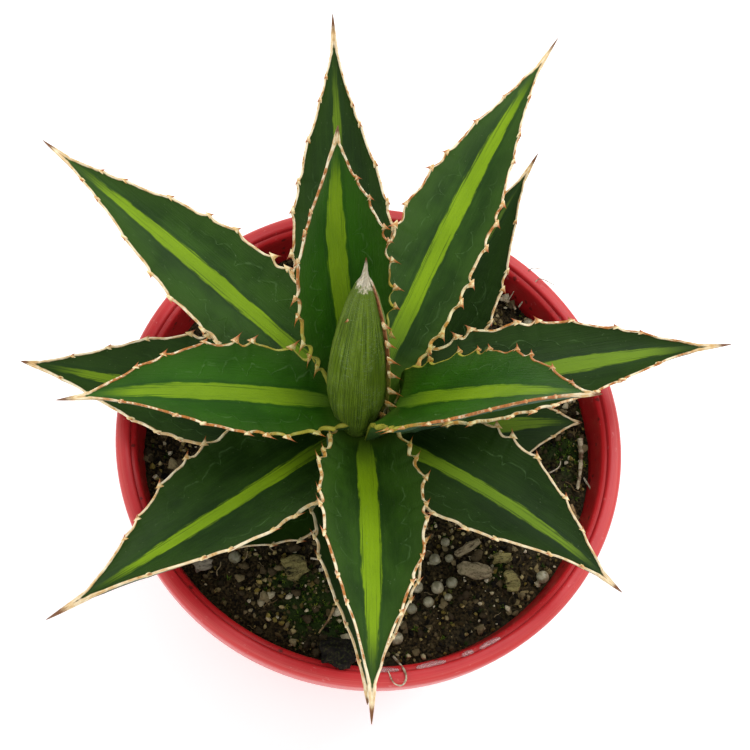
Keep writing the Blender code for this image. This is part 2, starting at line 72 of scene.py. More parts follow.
def srgb(code: str) -> tuple[float, float, float, float]:
    """Turn a hex colour into the linear colour a shader takes.

    Args:
        code: the colour as six hex digits.

    Returns:
        Red, green, blue and an alpha of one.
    """
    parts = [int(code[i:i + 2], 16) / 255 for i in (0, 2, 4)]
    linear = [c / 12.92 if c <= 0.04045 else ((c + 0.055) / 1.055) ** 2.4 for c in parts]
    return (*linear, 1.0)


@dataclass(frozen=True)
class Link:
    """A node's output, with maths operators that add Math nodes."""

    graph: "Graph"
    socket: bpy.types.NodeSocket

    def __add__(self, other: "Link | float") -> "Link":
        """Add."""
        return self.graph.maths("ADD", self, other)

    __radd__ = __add__

    def __mul__(self, other: "Link | float") -> "Link":
        """Multiply."""
        return self.graph.maths("MULTIPLY", self, other)

    __rmul__ = __mul__

    def __sub__(self, other: "Link | float") -> "Link":
        """Subtract."""
        return self.graph.maths("SUBTRACT", self, other)

    def __rsub__(self, other: float) -> "Link":
        """Subtract from a number."""
        return self.graph.maths("SUBTRACT", other, self)

    def __truediv__(self, other: "Link | float") -> "Link":
        """Divide."""
        return self.graph.maths("DIVIDE", self, other)


class Graph:
    """Adds nodes to a tree, for a material or for geometry."""

    def __init__(self, tree: bpy.types.NodeTree) -> None:
        """Keep the tree to add to."""
        self.tree = tree

    def node(self, kind: str, settings: dict | None = None, inputs: dict | None = None) -> bpy.types.Node:
        """Add one node.

        Args:
            kind: the node's type.
            settings: its properties, and "stops" for a ramp; they're set first.
            inputs: the values or links of its sockets, by name or number.

        Returns:
            The node.
        """
        node = self.tree.nodes.new(kind)
        for key, value in (settings or {}).items():
            if key == "stops":
                ramp = node.color_ramp
                while len(ramp.elements) < len(value):
                    ramp.elements.new(0.5)
                for element, (place, colour) in zip(ramp.elements, value):
                    element.position = place
                    element.color = colour
            else:
                setattr(node, key, value)
        for key, value in (inputs or {}).items():
            if isinstance(value, Link):
                self.tree.links.new(value.socket, node.inputs[key])
            else:
                node.inputs[key].default_value = value
        return node

    def out(self, kind: str, settings: dict | None = None, inputs: dict | None = None,
            output: int | str = 0) -> Link:
        """Add one node and return one of its outputs."""
        return Link(self, self.node(kind, settings, inputs).outputs[output])

    def maths(self, operation: str, *values: "Link | float") -> Link:
        """Add a Math node."""
        return self.out("ShaderNodeMath", {"operation": operation}, dict(enumerate(values)))

    def ramp(self, value: Link, low: float, high: float) -> Link:
        """Rise smoothly from 0 to 1 as a value goes from low to high."""
        names = {"Value": value, "From Min": low, "From Max": high}
        return self.out("ShaderNodeMapRange", {"interpolation_type": "SMOOTHSTEP"}, names)

    def mix(self, mask: "Link | float", a: "Link | tuple", b: "Link | tuple", blend: str = "MIX") -> Link:
        """Mix two colours by a mask."""
        settings = {"data_type": "RGBA", "blend_type": blend}
        return self.out("ShaderNodeMix", settings, {0: mask, 6: a, 7: b}, 2)

    def vector(self, x: "Link | float", y: "Link | float", z: "Link | float") -> Link:
        """Join three values in a vector."""
        return self.out("ShaderNodeCombineXYZ", None, {0: x, 1: y, 2: z})

    def noise(self, at: Link, scale: float, detail: float = 3.0, rough: float = 0.55) -> Link:
        """Add a noise pattern and return its value, which is mostly between 0.3 and 0.7."""
        names = {"Vector": at, "Scale": scale, "Detail": detail, "Roughness": rough}
        return self.out("ShaderNodeTexNoise", None, names, "Fac")

    def cells(self, at: Link, scale: float, output: str = "Distance") -> Link:
        """Add a cell pattern."""
        return self.out("ShaderNodeTexVoronoi", None, {"Vector": at, "Scale": scale}, output)

    def attribute(self, name: str) -> Link:
        """Read one of the piece's own attributes."""
        return self.out("ShaderNodeAttribute", {"attribute_name": name}, None, "Fac")

    def place(self) -> Link:
        """Read the place on the object, in metres."""
        return self.out("ShaderNodeTexCoord", None, None, "Object")

    def split(self, at: Link) -> tuple[Link, Link, Link]:
        """Take a vector apart."""
        node = self.node("ShaderNodeSeparateXYZ", None, {0: at})
        return tuple(Link(self, node.outputs[i]) for i in range(3))

    def bump(self, height: Link, depth: float, strength: float = 1.0) -> Link:
        """Turn a height between 0 and 1 into a normal; depth is in metres."""
        names = {"Height": height, "Distance": depth, "Strength": strength}
        return self.out("ShaderNodeBump", None, names, "Normal")


class Finish:
    """A procedural finish; each kind paints its own nodes."""

    name: str = "finish"

    def paint(self, g: Graph) -> dict:
        """Build the pattern's nodes and return the shader's inputs."""
        raise NotImplementedError

    def material(self) -> bpy.types.Material:
        """Make the material, once for each name.

        Returns:
            The material.
        """
        if self.name in MATERIALS:
            return MATERIALS[self.name]
        material = bpy.data.materials.new(self.name)
        material.use_nodes = True
        tree = material.node_tree
        tree.nodes.clear()
        graph = Graph(tree)
        shader = graph.out("ShaderNodeBsdfPrincipled", None, self.paint(graph))
        graph.node("ShaderNodeOutputMaterial", None, {"Surface": shader})
        MATERIALS[self.name] = material
        return material


MATERIALS: dict[str, bpy.types.Material] = {}


@dataclass(frozen=True)
class LeafFinish(Finish):
    """Dull waxy leaf: dark sides, a lime stripe down the middle and a horny margin."""

    name: str = "leaf_outer"
    dark: str = "1d380a"
    light: str = "2f4f12"
    grey: str = "36521c"
    stripe: str = "6f8f0c"
    foot: str = "52701c"
    young: float = 0.25

    def paint(self, g: Graph) -> dict:
        """Lay the stripe, the bloom, the fine fibres, the bud's imprints, painted shade on the lower leaves,
        and the margin.

        Args:
            g: the material's graph.

        Returns:
            The shader's inputs.
        """
        across, edge, run = g.attribute("across_mm"), g.attribute("edge_mm"), g.attribute("run_mm")
        along, under, band = g.attribute("along"), g.attribute("under"), g.attribute("band_mm")
        copper, tone, half, dull = (g.attribute(key) for key in ("copper", "tone", "stripe_mm", "dull"))
        deep = g.attribute("deep")
        fibres = g.noise(g.vector(across * 2.6, run * 0.09, tone * 40), 1.0, 3.0)
        clouds = g.noise(g.vector(across * 0.11, run * 0.05, tone * 90), 1.0, 3.0)
        ragged = g.noise(g.vector(across * 1.1, run * 0.16, tone * 60), 1.0, 3.0)
        fine = g.noise(g.vector(across * 6.0, run * 0.7, tone * 30), 1.0, 2.0)
        blade = g.mix(g.ramp(clouds, 0.34, 0.66), srgb(self.dark), srgb(self.light))
        blade = g.mix(g.ramp(edge, 6.5, 0.6) * 0.55, blade, srgb(self.grey))
        blade = g.mix(g.ramp(fibres, 0.45, 0.75) * 0.2, blade, srgb(self.grey))
        # Painted shade: leaves that lie low, under the others, are darkened towards a near black green.
        blade = g.mix(deep * 0.62, blade, g.mix(g.ramp(fibres, 0.4, 0.7), srgb("0e1d04"), srgb("172a07")))
        offset = g.maths("ABSOLUTE", across)
        inside = half - offset + (ragged - 0.5) * 1.7
        lit = g.ramp(clouds, 0.3, 0.7) * 0.7 + g.ramp(fibres, 0.35, 0.7) * 0.3
        stripe = g.mix(lit, srgb(self.stripe), srgb("7fa012"))
        stripe = g.mix(g.ramp(fine, 0.56, 0.7) * 0.3, stripe, srgb("567414"))
        stripe = g.mix(dull, stripe, srgb("4f6a20"))
        stripe = g.mix(g.ramp(along, 0.26, 0.02), stripe, srgb(self.foot))
        mask = g.ramp(inside, -0.22, 0.3) * g.ramp(along, 0.99, 0.8) * g.ramp(along, -0.02, 0.06)
        lines = g.ramp(g.noise(g.vector(across * 3.0, run * 0.03, tone * 17), 1.0, 2.0), 0.54, 0.6)
        near = g.ramp(g.maths("ABSOLUTE", inside), 1.5, 0.3)
        top = g.mix(mask * (1.0 - lines * near * 0.75), blade, stripe)
        hem = g.ramp(g.maths("ABSOLUTE", inside + 0.55), 0.6, 0.0)
        top = g.mix(hem * 0.3, top, srgb("14300f"))
        beat = g.maths("FRACT", run * 0.142 + tone * 3.0)
        hook = g.maths("POWER", g.maths("ABSOLUTE", beat * 2.0 - 1.0), 3.0)
        trace = g.maths("ABSOLUTE", edge - 4.6 - hook * 2.2 - (clouds - 0.5) * 9.0)
        ghost = g.ramp(trace, 0.42, 0.0) * g.ramp(along, 0.05, 0.16) * g.ramp(along, 0.72, 0.5)
        top = g.mix(ghost * g.ramp(ragged, 0.42, 0.62) * 0.34, top, srgb("5f7f4c"))
        scratch = g.ramp(g.noise(g.vector(across * 0.9, run * 0.5, tone * 11), 1.0, 4.0, 0.7), 0.66, 0.74)
        top = g.mix(scratch * 0.3, top, srgb("6f8c5c"))
        specks = g.ramp(g.cells(g.vector(across, run, tone * 9), 0.9), 0.13, 0.05)
        top = g.mix(specks * g.ramp(fine, 0.52, 0.6) * 0.4, top, srgb("8c9a70"))
        below = g.mix(g.ramp(clouds, 0.35, 0.65), srgb("35503f"), srgb("46604a"))
        below = g.mix(g.ramp(fibres, 0.4, 0.7) * 0.3, below, srgb("5b7658"))
        skin = g.mix(under, top, below)
        skin = g.mix(g.ramp(along, 0.1, 0.0) * 0.5, skin, srgb(self.foot))
        width = band * (0.1 + g.noise(g.vector(run * 0.5, tone * 12, 0.0), 1.0, 2.0) * 0.6)
        horn = g.ramp(width - edge, -0.14, 0.12)
        streak = g.noise(g.vector(run * 0.35, edge * 2.2, tone * 5), 1.0, 4.0, 0.6)
        cream = g.mix(g.ramp(streak, 0.35, 0.65), srgb("f2e5c4"), srgb("d3ad72"))
        cream = g.mix(g.ramp(along, 0.3, 0.06) * 0.6, cream, srgb("b9ae62"))
        rust = g.mix(g.ramp(fine, 0.35, 0.65), srgb("96521f"), srgb("bd7636"))
        rusty = g.ramp(streak + copper * 0.36, 0.66, 0.8) * g.ramp(along, 1.0, 0.92)
        cream = g.mix(rusty * 0.92, cream, rust)
        cream = g.mix(g.ramp(along + (streak - 0.5) * 0.3, 0.5, 0.22) * self.young, cream, srgb("a5a53c"))
        cream = g.mix(g.ramp(along + (streak - 0.5) * 0.4, 1.45, 1.75) * 0.9, cream, srgb("6a3a20"))
        cream = g.mix(g.ramp(edge - width * 0.6, 0.0, 0.35) * 0.65, cream, srgb("6b3d20"))
        colour = g.mix(horn, skin, cream)
        height = fibres * 0.45 + fine * 0.25 + clouds * 0.9 + ghost * 0.25 + streak * horn * 0.8
        rough = 0.46 + (fibres - 0.5) * 0.16 + ghost * 0.06 + horn * 0.06 + under * 0.08
        return {
            "Base Color": colour, "Roughness": rough, "Specular IOR Level": 0.12,
            "Normal": g.bump(height, 0.0003, 0.85),
        }


@dataclass(frozen=True)
class ToothFinish(Finish):
    """Horny tooth: cream at its foot, rust to brown at its point."""

    name: str = "tooth_horn"

    def paint(self, g: Graph) -> dict:
        """Colour the tooth from foot to point, greener near the leaf's base.

        Args:
            g: the material's graph.

        Returns:
            The shader's inputs.
        """
        tip, age, copper = g.attribute("tip"), g.attribute("age"), g.attribute("copper")
        streak = g.noise(g.place(), 900.0, 3.0)
        foot = g.mix(g.ramp(streak, 0.35, 0.65), srgb("efdfae"), srgb("d6ad66"))
        foot = g.mix(g.ramp(age, 0.34, 0.08) * 0.75, foot, srgb("b3b04a"))
        foot = g.mix(g.ramp(streak + copper * 0.3, 0.62, 0.8) * 0.7, foot, srgb("bf7a36"))
        colour = g.mix(g.ramp(tip + age * 0.35 + copper * 0.15, 0.4, 0.85), foot, srgb("ab5a22"))
        colour = g.mix(g.ramp(tip, 0.72, 0.95), colour, srgb("5f2d18"))
        return {
            "Base Color": colour, "Roughness": 0.4 + (streak - 0.5) * 0.2, "Specular IOR Level": 0.5,
            "Normal": g.bump(streak, 0.00012, 0.7),
        }


@dataclass(frozen=True)
class BudFinish(Finish):
    """Furled young leaves: mid green with fine dark lines and pale scratches."""

    name: str = "bud_green"

    def paint(self, g: Graph) -> dict:
        """Lay the fine lines, the scratches, the lap's margin and the pale cap.

        Args:
            g: the material's graph.

        Returns:
            The shader's inputs.
        """
        along, turn, lap = g.attribute("along"), g.attribute("turn_mm"), g.attribute("edge_mm")
        run = g.attribute("run_mm")
        fibres = g.noise(g.vector(turn * 3.4, run * 0.05, 3.0), 1.0, 3.0)
        lines = g.ramp(g.noise(g.vector(turn * 4.6, run * 0.03, 1.0), 1.0, 1.0), 0.53, 0.58)
        clouds = g.noise(g.vector(turn * 0.16, run * 0.07, 5.0), 1.0, 3.0)
        wavy = g.noise(g.vector(turn * 0.45, run * 0.75, 8.0), 1.0, 3.0, 0.6)
        scratch = g.ramp(g.maths("ABSOLUTE", wavy - 0.5), 0.016, 0.004)
        colour = g.mix(g.ramp(clouds, 0.35, 0.65), srgb("5b7419"), srgb("71892a"))
        colour = g.mix(g.ramp(fibres, 0.4, 0.7) * 0.45, colour, srgb("7f9c34"))
        colour = g.mix(lines * g.ramp(clouds, 0.3, 0.5) * 0.75, colour, srgb("2f4d12"))
        colour = g.mix(scratch * g.ramp(clouds, 0.4, 0.56) * 0.75, colour, srgb("93ac72"))
        colour = g.mix(g.ramp(along, 0.3, 0.05) * 0.5, colour, srgb("8fb048"))
        rim = g.ramp(lap, 1.25, 0.8)
        streak = g.noise(g.vector(run * 0.5, lap * 2.0, 2.0), 1.0, 4.0, 0.6)
        horn = g.mix(g.ramp(streak, 0.35, 0.65), srgb("9a5630"), srgb("c98a58"))
        horn = g.mix(g.ramp(along, 0.55, 0.36), horn, srgb("a8a844"))
        colour = g.mix(rim, colour, horn)
        cap = g.ramp(along + (wavy - 0.5) * 0.1, 0.865, 0.89)
        white = g.mix(g.ramp(streak, 0.35, 0.7), srgb("fbf3dc"), srgb("e6d3aa"))
        white = g.mix(g.ramp(along, 0.965, 1.0), white, srgb("8a4a28"))
        colour = g.mix(cap, colour, white)
        height = fibres * 0.5 - lines * 0.7 + scratch * 0.4 + clouds * 0.6
        return {
            "Base Color": colour, "Roughness": 0.48 + (fibres - 0.5) * 0.2, "Specular IOR Level": 0.15,
            "Normal": g.bump(height, 0.0003, 0.9),
        }


@dataclass(frozen=True)
class StemFinish(Finish):
    """Pale stem with the papery scars of old leaves."""

    name: str = "stem_pale"

    def paint(self, g: Graph) -> dict:
        """Lay rings of papery brown over pale green.

        Args:
            g: the material's graph.

        Returns:
            The shader's inputs.
        """
        at = g.place()
        x, y, z = g.split(at)
        rings = g.noise(g.vector(x * 60, y * 60, z * 900), 1.0, 4.0)
        fine = g.noise(at, 1200.0, 4.0)
        colour = g.mix(g.ramp(rings, 0.4, 0.62), srgb("a8a470"), srgb("6f5a38"))
        colour = g.mix(g.ramp(fine, 0.5, 0.7) * 0.4, colour, srgb("cbbd90"))
        normal = g.bump(rings * 0.7 + fine * 0.3, 0.0005)
        return {"Base Color": colour, "Roughness": 0.6 + fine * 0.3, "Normal": normal}


@dataclass(frozen=True)
class PotFinish(Finish):
    """Red moulded plastic, a little scuffed, with fine rings from the mould."""

    name: str = "pot_red"

    def paint(self, g: Graph) -> dict:
        """Lay the fine rings, the pinker worn lip, faint scratches and dust.

        Args:
            Lay the fine rings, a painted highlight on the outer lip, painted shade on the inner wall, faint
            scratches and dust.

        Returns:
            The shader's inputs.
        """
        at = g.place()
        x, y, z = g.split(at)
        radius = g.maths("SQRT", x * x + y * y)
        angle = g.maths("ARCTAN2", y, x)
        rings = g.noise(g.vector(radius * 5200, z * 5200, angle * 2.2), 1.0, 3.0)
        broad = g.noise(at, 42.0, 4.0)
        fine = g.noise(at, 1500.0, 3.0)
        colour = g.mix(g.ramp(broad, 0.35, 0.65), srgb("bd2026"), srgb("cb2a2e"))
        colour = g.mix(g.ramp(rings, 0.45, 0.7) * 0.3, colour, srgb("d9474a"))
        # Painted highlight: the outer rolled lip is lighter and pinker where light falls on it.
        lip_highlight = g.ramp(radius, 0.0676, 0.0688) * g.ramp(z, 0.0935, 0.0955)
        colour = g.mix(lip_highlight * 0.75, colour, g.mix(g.ramp(rings, 0.4, 0.65), srgb("c93c3a"), srgb("d35653")))
        # Painted shade: the inner wall inside the lip is darker red; the same mask keeps the dark splashes on
        # the inner wall.
        inner = g.ramp(radius, 0.0662, 0.0656)
        colour = g.mix(inner * 0.6, colour, srgb("b01418"))
        scuffs = g.ramp(g.noise(g.vector(radius * 900, z * 400, angle * 30), 1.0, 4.0, 0.65), 0.62, 0.72)
        colour = g.mix(scuffs * 0.3, colour, srgb("e59a96"))
        low = g.ramp(z, 0.03, 0.0) * g.ramp(fine + broad, 0.9, 1.2)
        colour = g.mix(low * 0.35, colour, srgb("6d4a3c"))
        splash = g.ramp(g.cells(at, 260.0) + (fine - 0.5) * 0.3, 0.2, 0.12) * g.ramp(z, 0.088, 0.096)
        colour = g.mix(splash * inner * 0.7, colour, srgb("3a1a14"))
        rough = 0.36 + (rings - 0.5) * 0.12 + scuffs * 0.14 + (broad - 0.5) * 0.12
        height = rings * 0.5 + fine * 0.25 + broad * 0.8
        return {
            "Base Color": colour, "Roughness": rough, "Specular IOR Level": 0.35,
            "Normal": g.bump(height, 0.00009),
        }


@dataclass(frozen=True)
class SoilFinish(Finish):
    """Damp dark potting soil with films of moss."""

    name: str = "soil_dark"

    def paint(self, g: Graph) -> dict:
        """Lay crumbs of near black and brown, green where moss grows, and a few damp glints.

        Args:
            g: the material's graph.

        Returns:
            The shader's inputs.
        """
        at = g.place()
        moss = g.attribute("moss")
        crumbs = g.cells(at, 620.0)
        fine = g.noise(at, 1300.0, 5.0, 0.65)
        broad = g.noise(at, 120.0, 4.0)
        colour = g.mix(g.ramp(fine, 0.35, 0.7), srgb("0f0c07"), srgb("4c4028"))
        colour = g.mix(g.ramp(broad, 0.52, 0.68) * 0.5, colour, srgb("2c2a18"))
        colour = g.mix(g.ramp(fine + crumbs * 0.3, 0.78, 0.9) * 0.5, colour, srgb("6a5840"))
        colour = g.mix(g.ramp(moss + (fine - 0.5) * 0.5, 0.25, 0.6) * 0.8, colour, srgb("263a12"))
        rough = 0.95 - g.ramp(broad + fine * 0.3, 0.66, 0.78) * 0.5
        return {"Base Color": colour, "Roughness": rough, "Specular IOR Level": 0.12,
                "Normal": g.bump(fine * 0.6 - crumbs * 0.5, 0.0009)}


@dataclass(frozen=True)
class GrainFinish(Finish):
    """Loose grains, crumbs or moss whose shade differs from grain to grain."""

    name: str = "grit"
    stops: tuple = (("2a2018", 0.0), ("c8b48c", 1.0))
    rough: float = 0.8
    scale: float = 1600.0
    depth: float = 0.0003

    def paint(self, g: Graph) -> dict:
        """Pick each grain's colour from the ramp and mottle it.

        Args:
            g: the material's graph.

        Returns:
            The shader's inputs.
        """
        shade = g.attribute("shade")
        mottle = g.noise(g.place(), self.scale, 4.0, 0.6)
        stops = [(place, srgb(code)) for code, place in self.stops]
        colour = g.out("ShaderNodeValToRGB", {"stops": stops}, {"Fac": shade}, "Color")
        colour = g.mix(g.ramp(mottle, 0.35, 0.7) * 0.35, colour, (0.01, 0.008, 0.005, 1.0))
        rough = self.rough + (mottle - 0.5) * 0.25
        return {
            "Base Color": colour, "Roughness": rough, "Specular IOR Level": 0.15,
            "Normal": g.bump(mottle, self.depth),
        }


@dataclass(frozen=True)
class BarkFinish(Finish):
    """Weathered wood: grain along the chip, dark cracks and grey faces."""

    name: str = "bark_brown"
    dark: str = "1f180f"
    mid: str = "54472f"
    pale: str = "94876a"

    def paint(self, g: Graph) -> dict:
        """Lay the grain along the piece's own length and width.

        Args:
            g: the material's graph.

        Returns:
            The shader's inputs.
        """
        run, side, shade = g.attribute("run_mm"), g.attribute("across_mm"), g.attribute("shade")
        at = g.vector(side * 0.75, run * 0.2, shade * 30)
        grain = g.noise(at, 1.0, 4.0, 0.6)
        fine = g.noise(g.place(), 1400.0, 4.0, 0.6)
        colour = g.mix(g.ramp(grain, 0.26, 0.66), srgb(self.dark), srgb(self.mid))
        colour = g.mix(g.ramp(grain + fine * 0.6 + shade * 0.3, 0.84, 1.12), colour, srgb(self.pale))
        colour = g.mix(g.ramp(fine, 0.52, 0.66) * 0.6, colour, srgb("3c3f1c"))
        rough = 0.78 + (fine - 0.5) * 0.3
        return {"Base Color": colour, "Roughness": rough, "Specular IOR Level": 0.15,
                "Normal": g.bump(grain * 0.8 + fine * 0.4, 0.0006)}


@dataclass(frozen=True)
class PrillFinish(Finish):
    """Resin coated fertiliser bead: olive tan, glossy, faintly mottled."""

    name: str = "prill_tan"

    def paint(self, g: Graph) -> dict:
        """Mottle the bead and darken its underside.

        Args:
            g: the material's graph.

        Returns:
            Mottle the bead and fleck it with darker spots.
        """
        shade = g.attribute("shade")
        at = g.place()
        mottle = g.noise(at, 700.0, 4.0, 0.6)
        colour = g.mix(shade, srgb("84836a"), srgb("aca588"))
        colour = g.mix(g.ramp(mottle, 0.4, 0.62) * 0.65, colour, srgb("5b573c"))
        colour = g.mix(g.ramp(g.noise(at, 2200.0, 2.0), 0.62, 0.7) * 0.5, colour, srgb("3c3522"))
        return {
            "Base Color": colour, "Roughness": 0.3 + mottle * 0.2, "Coat Weight": 0.1 + mottle * 0.1,
            "Coat Roughness": 0.2, "Normal": g.bump(mottle, 0.0002),
        }


@dataclass(frozen=True)
class FibreFinish(Finish):
    """Dry root or straw: pale with brown lengths."""

    name: str = "root_pale"
    pale: str = "d9cdb4"
    brown: str = "7c6244"

    def paint(self, g: Graph) -> dict:
        """Band the root along its run.

        Args:
            g: the material's graph.

        Returns:
            The shader's inputs.
        """
        run = g.attribute("run_mm")
        band = g.noise(g.vector(run * 0.3, 0.0, 0.0), 1.0, 3.0)
        fine = g.noise(g.place(), 1800.0, 4.0)
        colour = g.mix(g.ramp(band + (fine - 0.5) * 0.3, 0.4, 0.62), srgb(self.pale), srgb(self.brown))
        return {"Base Color": colour, "Roughness": 0.55 + fine * 0.3, "Normal": g.bump(fine, 0.0002)}


@dataclass(frozen=True)
class WaterFinish(Finish):
    """A film of water that stands on the lip's inner step."""

    name: str = "water_film"

    def paint(self, g: Graph) -> dict:
        """Ripple a clear film.

        Args:
            g: the material's graph.

        Returns:
            The shader's inputs.
        """
        ripple = g.noise(g.place(), 260.0, 2.0)
        return {
            "Base Color": (0.96, 0.9, 0.9, 1.0), "Roughness": 0.03 + ripple * 0.03, "IOR": 1.33,
            "Transmission Weight": 0.9, "Normal": g.bump(ripple, 0.0003),
        }


@dataclass(frozen=True)
class FloorFinish(Finish):
    """Matt white paper under the pot."""

    name: str = "floor_white"

    def paint(self, g: Graph) -> dict:
        """Tint the paper very slightly.

        Args:
            g: the material's graph.

        Returns:
            The shader's inputs.
        """
        tint = g.noise(g.place(), 3.0, 2.0)
        return {"Base Color": g.mix(tint * 0.2, (0.93, 0.93, 0.93, 1), (0.9, 0.9, 0.9, 1)), "Roughness": 0.9,
                "Emission Color": (1.0, 1.0, 1.0, 1.0), "Emission Strength": 0.35}


# ---------------------------------------------------------------- mesh helpers


def eased(table: Table, s: np.ndarray) -> np.ndarray:
    """Read a table of (place, value) pairs with a smooth curve that never overshoots.

    Args:
        table: pairs of place and value, in order of place.
        s: the places to read.

    Returns:
        The value at each place.
    """
    places = np.array([p for p, _ in table], float)
    values = np.array([v for _, v in table], float)
    steps, rises = np.diff(places), np.diff(values)
    rates = rises / steps
    slopes = np.concatenate([rates[:1], np.zeros(len(rates) - 1), rates[-1:]])
    for i in range(1, len(rates)):
        if rates[i - 1] * rates[i] > 0:
            w1, w2 = 2 * steps[i] + steps[i - 1], steps[i] + 2 * steps[i - 1]
            slopes[i] = (w1 + w2) / (w1 / rates[i - 1] + w2 / rates[i])
    s = np.clip(s, places[0], places[-1])
    i = np.clip(np.searchsorted(places, s, side="right") - 1, 0, len(steps) - 1)
    t = (s - places[i]) / steps[i]
    return (
        (1 + 2 * t) * (1 - t) ** 2 * values[i] + t * (1 - t) ** 2 * steps[i] * slopes[i]
        + t * t * (3 - 2 * t) * values[i + 1] + t * t * (t - 1) * steps[i] * slopes[i + 1]
    )


def wobble(x: float, y: float, z: float, size: float) -> float:
    """Return smooth noise between about -1 and 1; size is the width of its lumps."""
    return noise.noise(Vector((x, y, z)) / size)


def new_piece(name: str, points: Sequence, faces: Sequence, finish: Finish, attributes: dict | None = None,
              crease: float = 40.0) -> bpy.types.Object:
    """Make a smooth mesh object from points in millimetres.

    Args:
        name: the piece's name.
        points: its points in millimetres.
        faces: its faces.
        finish: what it is finished with.
        attributes: values for each point, by name.
        crease: edges that turn more than this many degrees stay sharp.

    Returns:
        The object.
    """
    mesh = bpy.data.meshes.new(name)
    mesh.from_pydata((np.asarray(points, float) * MM).tolist(), [], [list(map(int, f)) for f in faces])
    for key, values in (attributes or {}).items():
        layer = mesh.attributes.new(key, "FLOAT", "POINT")
        layer.data.foreach_set("value", np.asarray(values, np.float32))
    mesh.materials.append(finish.material())
    tidy_mesh(mesh, crease)
    obj = bpy.data.objects.new(name, mesh)
    bpy.context.scene.collection.objects.link(obj)
    return obj


def tidy_mesh(mesh: bpy.types.Mesh, crease: float, turn: bool = True) -> None:
    """Point a mesh's faces outwards, smooth it, and keep its hard edges.

    Args:
        mesh: the mesh to tidy.
        crease: edges that turn more than this many degrees stay sharp.
        turn: whether its faces may be turned.
    """
    work = bmesh.new()
    work.from_mesh(mesh)
    if turn:
        bmesh.ops.recalc_face_normals(work, faces=work.faces)
    for face in work.faces:
        face.smooth = True
    limit = math.radians(crease)
    for edge in work.edges:
        edge.smooth = len(edge.link_faces) != 2 or edge.calc_face_angle(0.0) < limit
    work.to_mesh(mesh)
    work.free()


def place_on(obj: bpy.types.Object, *replaced: str, slot: str | None = None) -> None:
    """Let a piece ride on the plant's one body, hide the CAD parts it stands for, and log its face count.

    Args:
        obj: the piece.
        replaced: the CAD nodes it stands for.
        slot: the record's material slot; not used.
    """
    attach(obj, BODY)
    if replaced:
        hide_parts(*replaced)
    LOG.info("%s: %d faces", obj.name, len(obj.data.polygons))


def lathe(profile: Sequence[tuple[float, float]], steps: int) -> tuple[list, list]:
    """Turn a profile of (radius, height) about Z; ends on the axis are closed with a point.

    Args:
        profile: the section.
        steps: how many steps make a full turn.

    Returns:
        The points and the faces.
    """
    points: list = []
    rings: list = []
    for radius, height in profile:
        if radius <= 0:
            rings.append([len(points)])
            points.append((0.0, 0.0, height))
            continue
        rings.append(list(range(len(points), len(points) + steps)))
        for k in range(steps):
            angle = math.tau * k / steps
            points.append((radius * math.cos(angle), radius * math.sin(angle), height))
    faces: list = []
    for a, b in zip(rings, rings[1:]):
        for k in range(steps):
            n = (k + 1) % steps
            if len(a) == 1:
                faces.append((a[0], b[n], b[k]))
            elif len(b) == 1:
                faces.append((a[k], a[n], b[0]))
            else:
                faces.append((a[k], a[n], b[n], b[k]))
    return points, faces


def tube(path: np.ndarray, radii: np.ndarray, sides: int = 10, seed: float = 0.0) -> tuple[list, list, dict]:
    """Sweep an uneven round section along a path and close its ends.

    Args:
        path: the tube's middle line.
        radii: its radius at each point of the path.
        sides: how many points go round it.
        seed: what its unevenness starts from.

    Returns:
        The points, the faces, and how far along each point lies.
    """
    path = np.asarray(path, float)
    points: list = []
    runs: list = []
    run = 0.0
    normal = np.array([0.0, 0.0, 1.0])
    for i, centre in enumerate(path):
        ahead = path[min(i + 1, len(path) - 1)] - path[max(i - 1, 0)]
        ahead = ahead / np.linalg.norm(ahead)
        normal = normal - ahead * normal.dot(ahead)
        normal = normal / np.linalg.norm(normal)
        other = np.cross(ahead, normal)
        run += np.linalg.norm(path[i] - path[i - 1]) if i else 0.0
        for k in range(sides):
            angle = math.tau * k / sides
            r = radii[i] * (1 + 0.22 * wobble(run, 3 * math.cos(angle), 3 * math.sin(angle) + seed, 1.6))
            points.append(centre + normal * r * math.cos(angle) + other * r * math.sin(angle))
            runs.append(run)
    faces = [tuple(range(sides))[::-1], tuple(len(points) - sides + k for k in range(sides))]
    faces += skin(sides, len(path))
    return points, faces, {"run_mm": runs}


def skin(count: int, rings: int) -> list:
    """Join rings of points, each of the same count, with quads.

    Args:
        count: how many points each ring has.
        rings: how many rings there are.

    Returns:
        The quads.
    """
    return [
        (i * count + k, i * count + (k + 1) % count, (i + 1) * count + (k + 1) % count, (i + 1) * count + k)
        for i in range(rings - 1) for k in range(count)
    ]


def curved_path(ends: Sequence[tuple[float, float, float]], count: int) -> np.ndarray:
    """Draw a smooth path of points through a few given ones.

    Args:
        ends: the points it passes through.
        count: how many steps lead from each to the next.

    Returns:
        The path.
    """
    given = np.array(ends, float)
    padded = np.vstack([2 * given[0] - given[1], given, 2 * given[-1] - given[-2]])
    rows = []
    for i in range(len(given) - 1):
        a, b, c, d = padded[i:i + 4]
        for t in np.linspace(0, 1, count, endpoint=False):
            rows.append(0.5 * (2 * b + (c - a) * t + (2 * a - 5 * b + 4 * c - d) * t**2
                               + (3 * b - a - 3 * c + d) * t**3))
    rows.append(given[-1])
    return np.array(rows)


# ---------------------------------------------------------------- geometry nodes


class Draw(Enum):
    """How a random value is drawn."""

    FLOAT = "FLOAT"
    VECTOR = "FLOAT_VECTOR"


